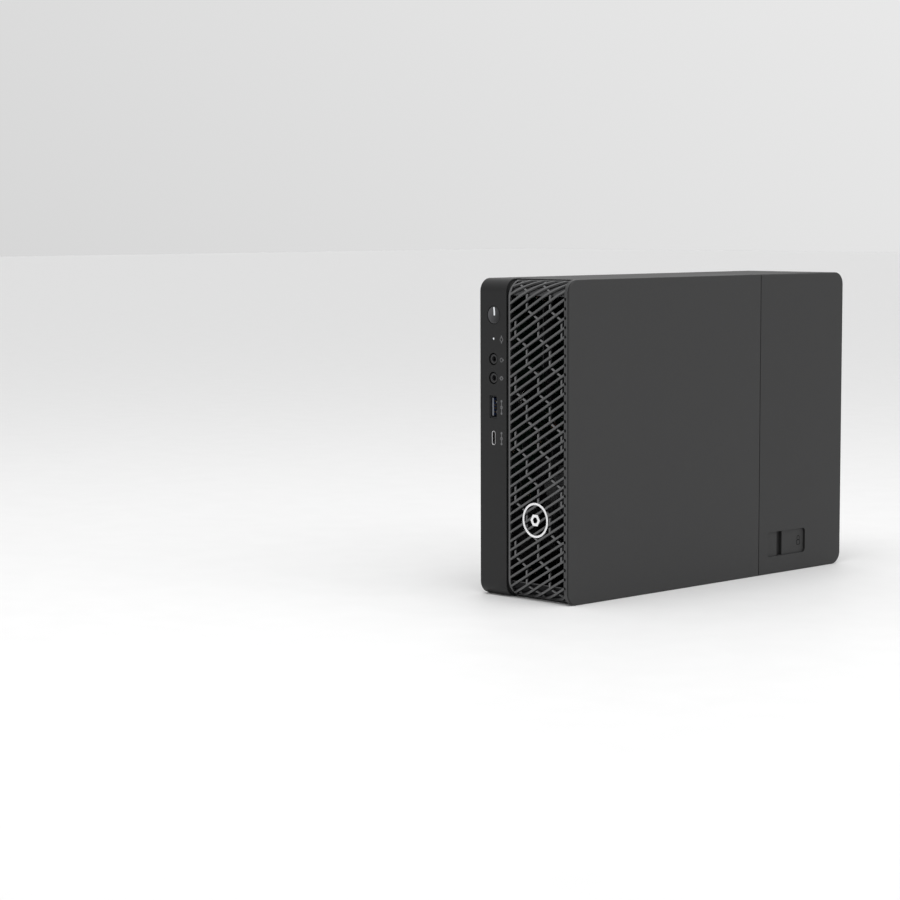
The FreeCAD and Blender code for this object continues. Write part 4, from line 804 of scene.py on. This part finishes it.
def build_light_line():
    """Crowned light line that follows the button's dish."""
    face_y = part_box("power_button")[0].y
    low, high = -0.35 * MM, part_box("power_light_line")[1].z - BUTTON.z
    half_width, thickness = 0.6 * MM, 1.2 * MM
    columns, rows = 6, 16
    front, back = [], []
    for row in range(rows + 1):
        z = low + (high - low) * row / rows
        across = [-half_width + 2 * half_width * column / columns for column in range(columns + 1)]
        depths = [dish_depth(math.hypot(x, z)) - 0.03 * MM - 0.10 * MM * (1 - (x / half_width) ** 2)
                  for x in across]
        front.append([(BUTTON.x + x, face_y + max(y, 0.0), BUTTON.z + z) for x, y in zip(across, depths)])
        back.append([(BUTTON.x + x, face_y + thickness, BUTTON.z + z) for x in across])
    work = bmesh.new()
    add_slab(work, front, back)
    line = new_piece("button_light_line", work, "power_button", "light_white", LIGHT)
    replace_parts(line, "power_light_line")


def build_status_light():
    """Domed lens of the status light, with the square end of its light guide."""
    low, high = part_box("status_light_guide")
    z = middle_of("status_light_guide").z
    length = high.y - low.y
    angles = [math.radians(15 * k) for k in range(7)]
    dome = [(0.78 * MM * math.sin(angle), 0.35 * MM * (1 - math.cos(angle))) for angle in angles]
    dome += [(0.85 * MM, 0.8 * MM), (1.0 * MM, 1.6 * MM), (1.0 * MM, length), (0.0, length)]
    work = bmesh.new()
    add_lathe(work, (STRIP_X, low.y, z), (0, 1, 0), dome, 32)
    add_box(work, (low.x, high.y - 2 * MM, z - 0.95 * MM), (STRIP_X, high.y - 0.02 * MM, z + 0.95 * MM),
            0.2 * MM)
    piece = new_piece("status_lens", work, "chassis", "light_white", LIGHT)
    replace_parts(piece, "status_light_guide")


def build_audio_jacks():
    """Stepped sleeves, a dark gap round each, and spring contacts inside the bores."""
    low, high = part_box("audio_jacks")
    half_body = 3.6 * MM
    profile = [(1.8, 9.5), (1.8, 0.45), (1.98, 0.16), (2.25, 0.04), (2.7, 0.0), (3.1, 0.10), (3.28, 0.4),
               (3.28, 3.9), (1.85, 3.9)]
    spring_middle, spring_half = 1.45 * MM, 0.25 * MM
    sleeves, bodies, springs = bmesh.new(), bmesh.new(), bmesh.new()
    for z in (low.z + 3.8 * MM, high.z - 3.8 * MM):
        add_lathe(sleeves, (STRIP_X, low.y + 0.15 * MM, z), (0, 1, 0),
                  [(radius * MM, along * MM) for radius, along in profile], 64, closed_end=False)
        add_box(bodies, (low.x, FRONT + 4 * MM, z - half_body), (STRIP_X + half_body, high.y, z + half_body),
                0.35 * MM)
        for degrees, reach in ((20, 5.5 * MM), (140, 7.5 * MM), (260, 6.5 * MM)):
            angle = math.radians(degrees)
            x, height = STRIP_X + spring_middle * math.cos(angle), z + spring_middle * math.sin(angle)
            add_box(springs, (x - spring_half, low.y + reach - 2 * MM, height - spring_half),
                    (x + spring_half, low.y + reach, height + spring_half), 0.08 * MM)
    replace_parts(new_piece("jack_sleeves", sleeves, "chassis", "socket_black", BLACK), "audio_jacks")
    new_piece("jack_bodies", bodies, "chassis", "socket_black", BLACK)
    new_piece("jack_springs", springs, "chassis", "socket_metal", GOLD)


def add_shell_tube(work, x, z, width, height, wall, radius, y0, y1, steps=6):
    """Rectangular tube with rounded corners, open at its front and closed at its back."""
    lip = min(0.12 * MM, wall * 0.45)
    rings = []
    for inset, y in ((0.0, y1), (0.0, y0 + lip), (lip, y0), (wall - lip, y0), (wall, y0 + lip),
                     (wall, y1 - MM)):
        outline = rounded_rectangle(x, z, width / 2 - inset, height / 2 - inset,
                                    max(radius - inset, 0.05 * MM), steps)
        rings.append([work.verts.new((px, y, pz)) for px, pz in outline])
    for ring, after in zip(rings, rings[1:]):
        join_loops(work, ring, after)
    work.faces.new(rings[0])
    work.faces.new(rings[-1])


def build_usb_a():
    """USB-A socket: plated shell with its foot, two retaining springs, and a tongue with contacts."""
    low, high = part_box("front_usb_a")
    z = middle_of("front_usb_a").z
    foot_half, tongue_half = 6.0 * MM, 5.8 * MM
    tongue_left, tongue_right = STRIP_X - 2.3 * MM, STRIP_X - 0.6 * MM
    work = bmesh.new()
    add_shell_tube(work, STRIP_X, z, 6.2 * MM, 14.2 * MM, 0.4 * MM, 0.5 * MM, low.y, high.y)
    add_box(work, (low.x, FRONT + 5 * MM, z - foot_half), (STRIP_X - 3.0 * MM, high.y, z + foot_half),
            0.2 * MM)
    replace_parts(new_piece("usb_a_shell", work, "chassis", "socket_metal", DARK_METAL), "front_usb_a")
    springs = [((STRIP_X + 1.9 * MM, low.y + 0.6 * MM, z + middle - 0.8 * MM),
                (STRIP_X + 2.75 * MM, low.y + 4.2 * MM, z + middle + 0.8 * MM))
               for middle in (-3.2 * MM, 3.2 * MM)]
    add_boxes("usb_a_springs", springs, 0.25 * MM, "socket_metal", STEEL)
    # A thin light grey box at the tongue's front edge: a painted highlight.
    edge = [((STRIP_X - 1.75 * MM, low.y + 0.55 * MM, z - tongue_half),
             (STRIP_X - 0.7 * MM, low.y + 0.85 * MM, z + tongue_half))]
    add_boxes("usb_a_tongue_edge_painted_highlight", edge, 0.1 * MM, "socket_black", SOCKET_EDGE_PAINTED_HIGHLIGHT)
    # The tongue's colour is its blue darkened as painted shade.
    tongue = [((tongue_left, low.y + 0.8 * MM, z - tongue_half),
               (tongue_right, high.y - 1.2 * MM, z + tongue_half))]
    add_boxes("usb_a_tongue", tongue, 0.25 * MM, "socket_black", TONGUE_BLUE_PAINTED_SHADE)
    contacts = [((tongue_right - 0.06 * MM, low.y + 1.6 * MM, z + middle - 0.5 * MM),
                 (tongue_right + 0.15 * MM, high.y - 3 * MM, z + middle + 0.5 * MM))
                for middle in (-3.5 * MM, -1.0 * MM, 1.0 * MM, 3.5 * MM)]
    add_boxes("usb_a_contacts", contacts, 0.07 * MM, "socket_metal", GOLD)


def build_usb_c():
    """USB-C socket: plated shell with its foot, and a tongue with a row of contacts on each side."""
    low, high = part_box("front_usb_c")
    z = middle_of("front_usb_c").z
    foot_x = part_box("front_usb_a")[0].x
    foot_half, tongue_half = 3.0 * MM, 3.3 * MM
    half_thick = 0.35 * MM
    work = bmesh.new()
    add_shell_tube(work, STRIP_X, z, 3.5 * MM, 9.5 * MM, 0.55 * MM, 1.7 * MM, low.y, high.y, steps=10)
    add_box(work, (foot_x, FRONT + 5 * MM, z - foot_half), (STRIP_X - 1.7 * MM, high.y, z + foot_half),
            0.2 * MM)
    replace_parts(new_piece("usb_c_shell", work, "chassis", "socket_metal", STEEL), "front_usb_c")
    tongue = [((STRIP_X - half_thick, low.y + 1.4 * MM, z - tongue_half),
               (STRIP_X + half_thick, high.y - 1.2 * MM, z + tongue_half))]
    add_boxes("usb_c_tongue", tongue, 0.15 * MM, "socket_black", BLACK)
    count, pitch = 12, 0.5 * MM
    contacts = []
    for k in range(count):
        middle = z + (k - (count - 1) / 2) * pitch
        for side in (-1, 1):
            x = STRIP_X + side * (half_thick + 0.01 * MM)
            contacts.append(((x - 0.04 * MM, low.y + 1.9 * MM, middle - 0.12 * MM),
                             (x + 0.04 * MM, high.y - 3 * MM, middle + 0.12 * MM)))
    add_boxes("usb_c_contacts", contacts, 0.0, "socket_metal", GOLD)


def add_ring_sign(work, x, z, radius_x, radius_z, line, y0, y1, steps=32):
    """A flat ring or oval, as thick as from y0 to y1."""
    outer = ellipse_points(x, z, radius_x, radius_z, steps)
    inner = ellipse_points(x, z, radius_x - line, radius_z - line, steps)
    add_hoop(work, [[(px, y, pz) for px, pz in loop]
                    for loop, y in ((outer, y0), (inner, y0), (inner, y1), (outer, y1))])


def build_strip_signs():
    """Plain printed signs beside the light and the sockets: rings, bars and dots with no lettering."""
    work = bmesh.new()
    y0, y1 = FRONT + 0.004 * MM, FRONT + 0.12 * MM
    x = RIGHT - 60.0 * MM
    light_z = middle_of("status_light_guide").z
    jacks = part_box("audio_jacks")
    add_ring_sign(work, x, light_z - 0.3 * MM, 1.45 * MM, 1.45 * MM, 0.42 * MM, y0, y1)
    for offset in (1.75, -2.35):
        add_prism(work, ellipse_points(x, light_z + offset * MM, 0.5 * MM, 0.5 * MM, 12), y0, y1)
    for z, bar in ((jacks[1].z - 4.2 * MM, 1.45), (jacks[0].z + 3.9 * MM, 0.0)):
        add_ring_sign(work, x, z, 1.3 * MM, 1.45 * MM, 0.42 * MM, y0, y1)
        if bar:
            add_prism(work, [(x + 1.2 * MM, z - 0.5 * MM), (x + 2.0 * MM, z - 0.5 * MM),
                             (x + 2.0 * MM, z + 0.5 * MM), (x + 1.2 * MM, z + 0.5 * MM)], y0, y1)
        else:
            add_ring_sign(work, x, z, 1.75 * MM, 0.65 * MM, 0.3 * MM, y0 + 0.002 * MM, y1)
    for node, reach in (("front_usb_a", 4.0), ("front_usb_c", 3.5)):
        z = middle_of(node).z
        add_prism(work, [(x - 0.28 * MM, z - reach * MM), (x + 0.28 * MM, z - reach * MM),
                         (x + 0.28 * MM, z + reach * MM), (x - 0.28 * MM, z + reach * MM)], y0, y1)
        for end in (-1, 1):
            dot = ellipse_points(x, z + end * reach * MM, 0.8 * MM, 0.8 * MM, 16)
            add_prism(work, dot, y0 + 0.002 * MM, y1)
        add_ring_sign(work, x, z, 1.15 * MM, 1.15 * MM, 0.4 * MM, y0 + 0.003 * MM, y1)
    new_piece("strip_signs", work, "chassis", "bezel_plastic", SIGN)


def build_badge():
    """Open ring with a rounded edge and a small plain hexagon, set on the bars."""
    corner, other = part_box("badge")
    centre = (corner + other) / 2
    radius = (other.x - corner.x) / 2
    work = bmesh.new()
    band, thick = 1.4 * MM, other.y - corner.y
    section = [(radius - 0.12 * MM, 0.0), (radius, 0.12 * MM), (radius, thick), (radius - band, thick),
               (radius - band, 0.12 * MM), (radius - band + 0.12 * MM, 0.0), (radius - 0.12 * MM, 0.0)]
    add_lathe(work, (centre.x, corner.y, centre.z), (0, 1, 0), section, 96, closed_end=False)
    bmesh.ops.remove_doubles(work, verts=work.verts, dist=0.001 * MM)
    ring = new_piece("badge_ring", work, "chassis", "badge_metal", BADGE)
    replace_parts(ring, "badge")
    work = bmesh.new()
    outer, inner = [ellipse_points(centre.x, centre.z, size, size, 6) for size in (4.2 * MM, 2.2 * MM)]
    add_hoop(work, [[(x, y, z) for x, z in loop] for loop, y in (
        (outer, corner.y), (outer, other.y), (inner, other.y), (inner, corner.y))])
    soften(new_piece("badge_hexagon", work, "chassis", "badge_metal", BADGE), 0.1 * MM)


def build_lock_sign():
    """Moulded outline of a closed padlock on the latch: a body and a rounder bow above it, coloured near
    black as painted shade.
    """
    face_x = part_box("release_latch")[1].x
    y = FRONT + 234.6 * MM
    z = middle_of("release_latch").z
    line, sunk, proud = 0.42 * MM, face_x - 0.1 * MM, face_x + 0.03 * MM
    work = bmesh.new()
    for middle, half_y, half_z, radius in ((z - 1.35 * MM, 2.0 * MM, 1.75 * MM, 0.9 * MM),
                                           (z + 1.75 * MM, 1.45 * MM, 1.75 * MM, 1.4 * MM)):
        outer, inner = [rounded_rectangle(y, middle, half_y - inset, half_z - inset,
                                          max(radius - inset, 0.1 * MM), 6) for inset in (0.0, line)]
        add_hoop(work, [[(x, py, pz) for py, pz in loop] for loop, x in (
            (outer, sunk), (outer, proud), (inner, proud), (inner, sunk))])
    new_piece("lock_sign", work, "release_latch", "latch_plastic", PADLOCK_PAINTED_SHADE)


def build_fan(name, node, hub_node, axis, side, hub_radius, blade_count, lean):
    """Fan rotor: a rounded hub with a ring-shaped groove, and blades that lean and rise round the hub."""
    corner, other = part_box(node)
    axis, side = Vector(axis), Vector(side)
    cross = axis.cross(side)
    hub = middle_of(hub_node)
    start, depth = corner.dot(axis), (other - corner).dot(axis)
    centre = hub - axis * hub.dot(axis) + axis * start
    root_radius, tip_radius = hub_radius * 0.97, other.z - hub.z - 0.02 * MM
    work = bmesh.new()
    profile = [(0.0, 0.0), (hub_radius - 3.4 * MM, 0.0), (hub_radius - 3.1 * MM, 0.3 * MM),
               (hub_radius - 2.6 * MM, 0.3 * MM), (hub_radius - 2.3 * MM, 0.0), (hub_radius - 0.9 * MM, 0.0),
               (hub_radius - 0.25 * MM, 0.25 * MM), (hub_radius, 0.9 * MM), (hub_radius, depth - 0.6 * MM),
               (hub_radius - 0.6 * MM, depth), (0.0, depth)]
    add_lathe(work, centre, axis, profile, 72)
    radial_steps, chord_steps, thickness = 7, 6, 0.55 * MM

    def place(radius, angle, height):
        return centre + axis * height + (side * math.cos(angle) + cross * math.sin(angle)) * radius

    for blade in range(blade_count):
        lower, upper = [], []
        for i in range(radial_steps + 1):
            share = i / radial_steps
            radius = root_radius + (tip_radius - root_radius) * share
            span = math.tau / blade_count * (0.95 - 0.22 * share)
            lower.append([])
            upper.append([])
            for j in range(chord_steps + 1):
                step = j / chord_steps
                angle = math.tau * blade / blade_count + lean * share ** 1.3 + span * (step - 0.5)
                height = depth * (0.14 + 0.72 * step) + depth * 0.07 * math.sin(math.pi * step)
                half_thick = thickness * (1.0 - 0.55 * abs(2 * step - 1)) / 2
                lower[-1].append(place(radius, angle, height - half_thick))
                upper[-1].append(place(radius, angle, height + half_thick))
        add_slab(work, lower, upper)
    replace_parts(new_piece(name, work, BODY_OF[node], SLOT_OF[node], FAN, smooth_angle=50), node)


def taken_cells(face_x, reach):
    """Cells of the main board, 1 mm square, that other parts stand on."""
    taken = set()
    for node, source in NODES.items():
        if node in ("motherboard", "chassis_tray", "side_cover", "front_bezel", "cable_cover"):
            continue
        points = source.data.vertices
        for face in source.data.polygons:
            corners = [points[index].co for index in face.vertices]
            if min(c.x for c in corners) > face_x + reach or max(c.x for c in corners) < face_x - MM:
                continue
            y0, y1 = min(c.y for c in corners), max(c.y for c in corners)
            z0, z1 = min(c.z for c in corners), max(c.z for c in corners)
            for cell_y in range(math.floor(y0 / MM) - 1, math.ceil(y1 / MM) + 1):
                for cell_z in range(math.floor(z0 / MM) - 1, math.ceil(z1 / MM) + 1):
                    taken.add((cell_y, cell_z))
    return taken


def build_board_parts():
    """Small chips, resistors and capacitors scattered over the free area of the main board."""
    draw = random.Random(41)
    corner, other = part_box("motherboard")
    face_x = other.x
    taken = taken_cells(face_x, 1.4 * MM)
    chips, bodies, ends = bmesh.new(), bmesh.new(), bmesh.new()

    def free(y, z, half_y, half_z):
        cells = [(a, b) for a in range(math.floor((y - half_y) / MM), math.ceil((y + half_y) / MM))
                 for b in range(math.floor((z - half_z) / MM), math.ceil((z + half_z) / MM))]
        if any(cell in taken for cell in cells):
            return False
        taken.update((a + i, b + j) for a, b in cells for i in (-1, 0, 1) for j in (-1, 0, 1))
        return True

    for _ in range(60):
        half_y, half_z = draw.choice(((1.5, 2.0), (2.5, 2.5), (3.5, 3.5), (2.0, 3.0)))
        y = draw.uniform(corner.y + 6 * MM, other.y - 6 * MM)
        z = draw.uniform(corner.z + 6 * MM, other.z - 6 * MM)
        if not free(y, z, (half_y + 0.8) * MM, half_z * MM):
            continue
        add_box(chips, (face_x + 0.1 * MM, y - half_y * MM, z - half_z * MM),
                (face_x + 1.0 * MM, y + half_y * MM, z + half_z * MM), 0.12 * MM)
        pins = int(2 * half_z / 0.65)
        for pin in range(pins):
            place = z + (pin - (pins - 1) / 2) * 0.65 * MM
            for end in (-1, 1):
                edge = y + end * (half_y + 0.3) * MM
                add_box(ends, (face_x, edge - 0.4 * MM, place - 0.13 * MM),
                        (face_x + 0.3 * MM, edge + 0.4 * MM, place + 0.13 * MM))
    for _ in range(420):
        long_way = draw.random() < 0.5
        length, width, tall = draw.choice(((1.0, 0.5, 0.35), (1.6, 0.8, 0.45), (2.0, 1.25, 0.7)))
        half_y, half_z = (length / 2, width / 2) if long_way else (width / 2, length / 2)
        y = draw.uniform(corner.y + 3 * MM, other.y - 3 * MM)
        z = draw.uniform(corner.z + 3 * MM, other.z - 3 * MM)
        if not free(y, z, half_y * MM, half_z * MM):
            continue
        inner = (half_y * 0.6, half_z) if long_way else (half_y, half_z * 0.6)
        add_box(bodies, (face_x, y - inner[0] * MM, z - inner[1] * MM),
                (face_x + tall * MM, y + inner[0] * MM, z + inner[1] * MM), 0.04 * MM, segments=1)
        for end in (-1, 1):
            shift = (end * half_y * 0.8, 0.0) if long_way else (0.0, end * half_z * 0.8)
            part = (half_y * 0.2, half_z) if long_way else (half_y, half_z * 0.2)
            add_box(ends, (face_x, y + (shift[0] - part[0]) * MM, z + (shift[1] - part[1]) * MM),
                    (face_x + tall * 1.04 * MM, y + (shift[0] + part[0]) * MM, z + (shift[1] + part[1]) * MM))
    new_piece("board_chips", chips, "chassis", "chip_black", EPOXY)
    new_piece("board_small_parts", bodies, "chassis", "chip_black", CERAMIC)
    new_piece("board_solder_ends", ends, "chassis", "socket_metal", STEEL)


build_fan("fan_blades", "fan_rotor", "fan_frame", (0, 1, 0), (0, 0, 1), 12 * MM, 9, 0.55)
build_fan("graphics_fan_blades", "graphics_fan_rotor", "graphics_fan_base", (1, 0, 0), (0, 1, 0), 9 * MM,
          11, 0.6)
build_board_parts()
build_power_button()
build_light_line()
build_status_light()
build_audio_jacks()
build_usb_a()
build_usb_c()
build_strip_signs()
build_badge()
build_lock_sign()
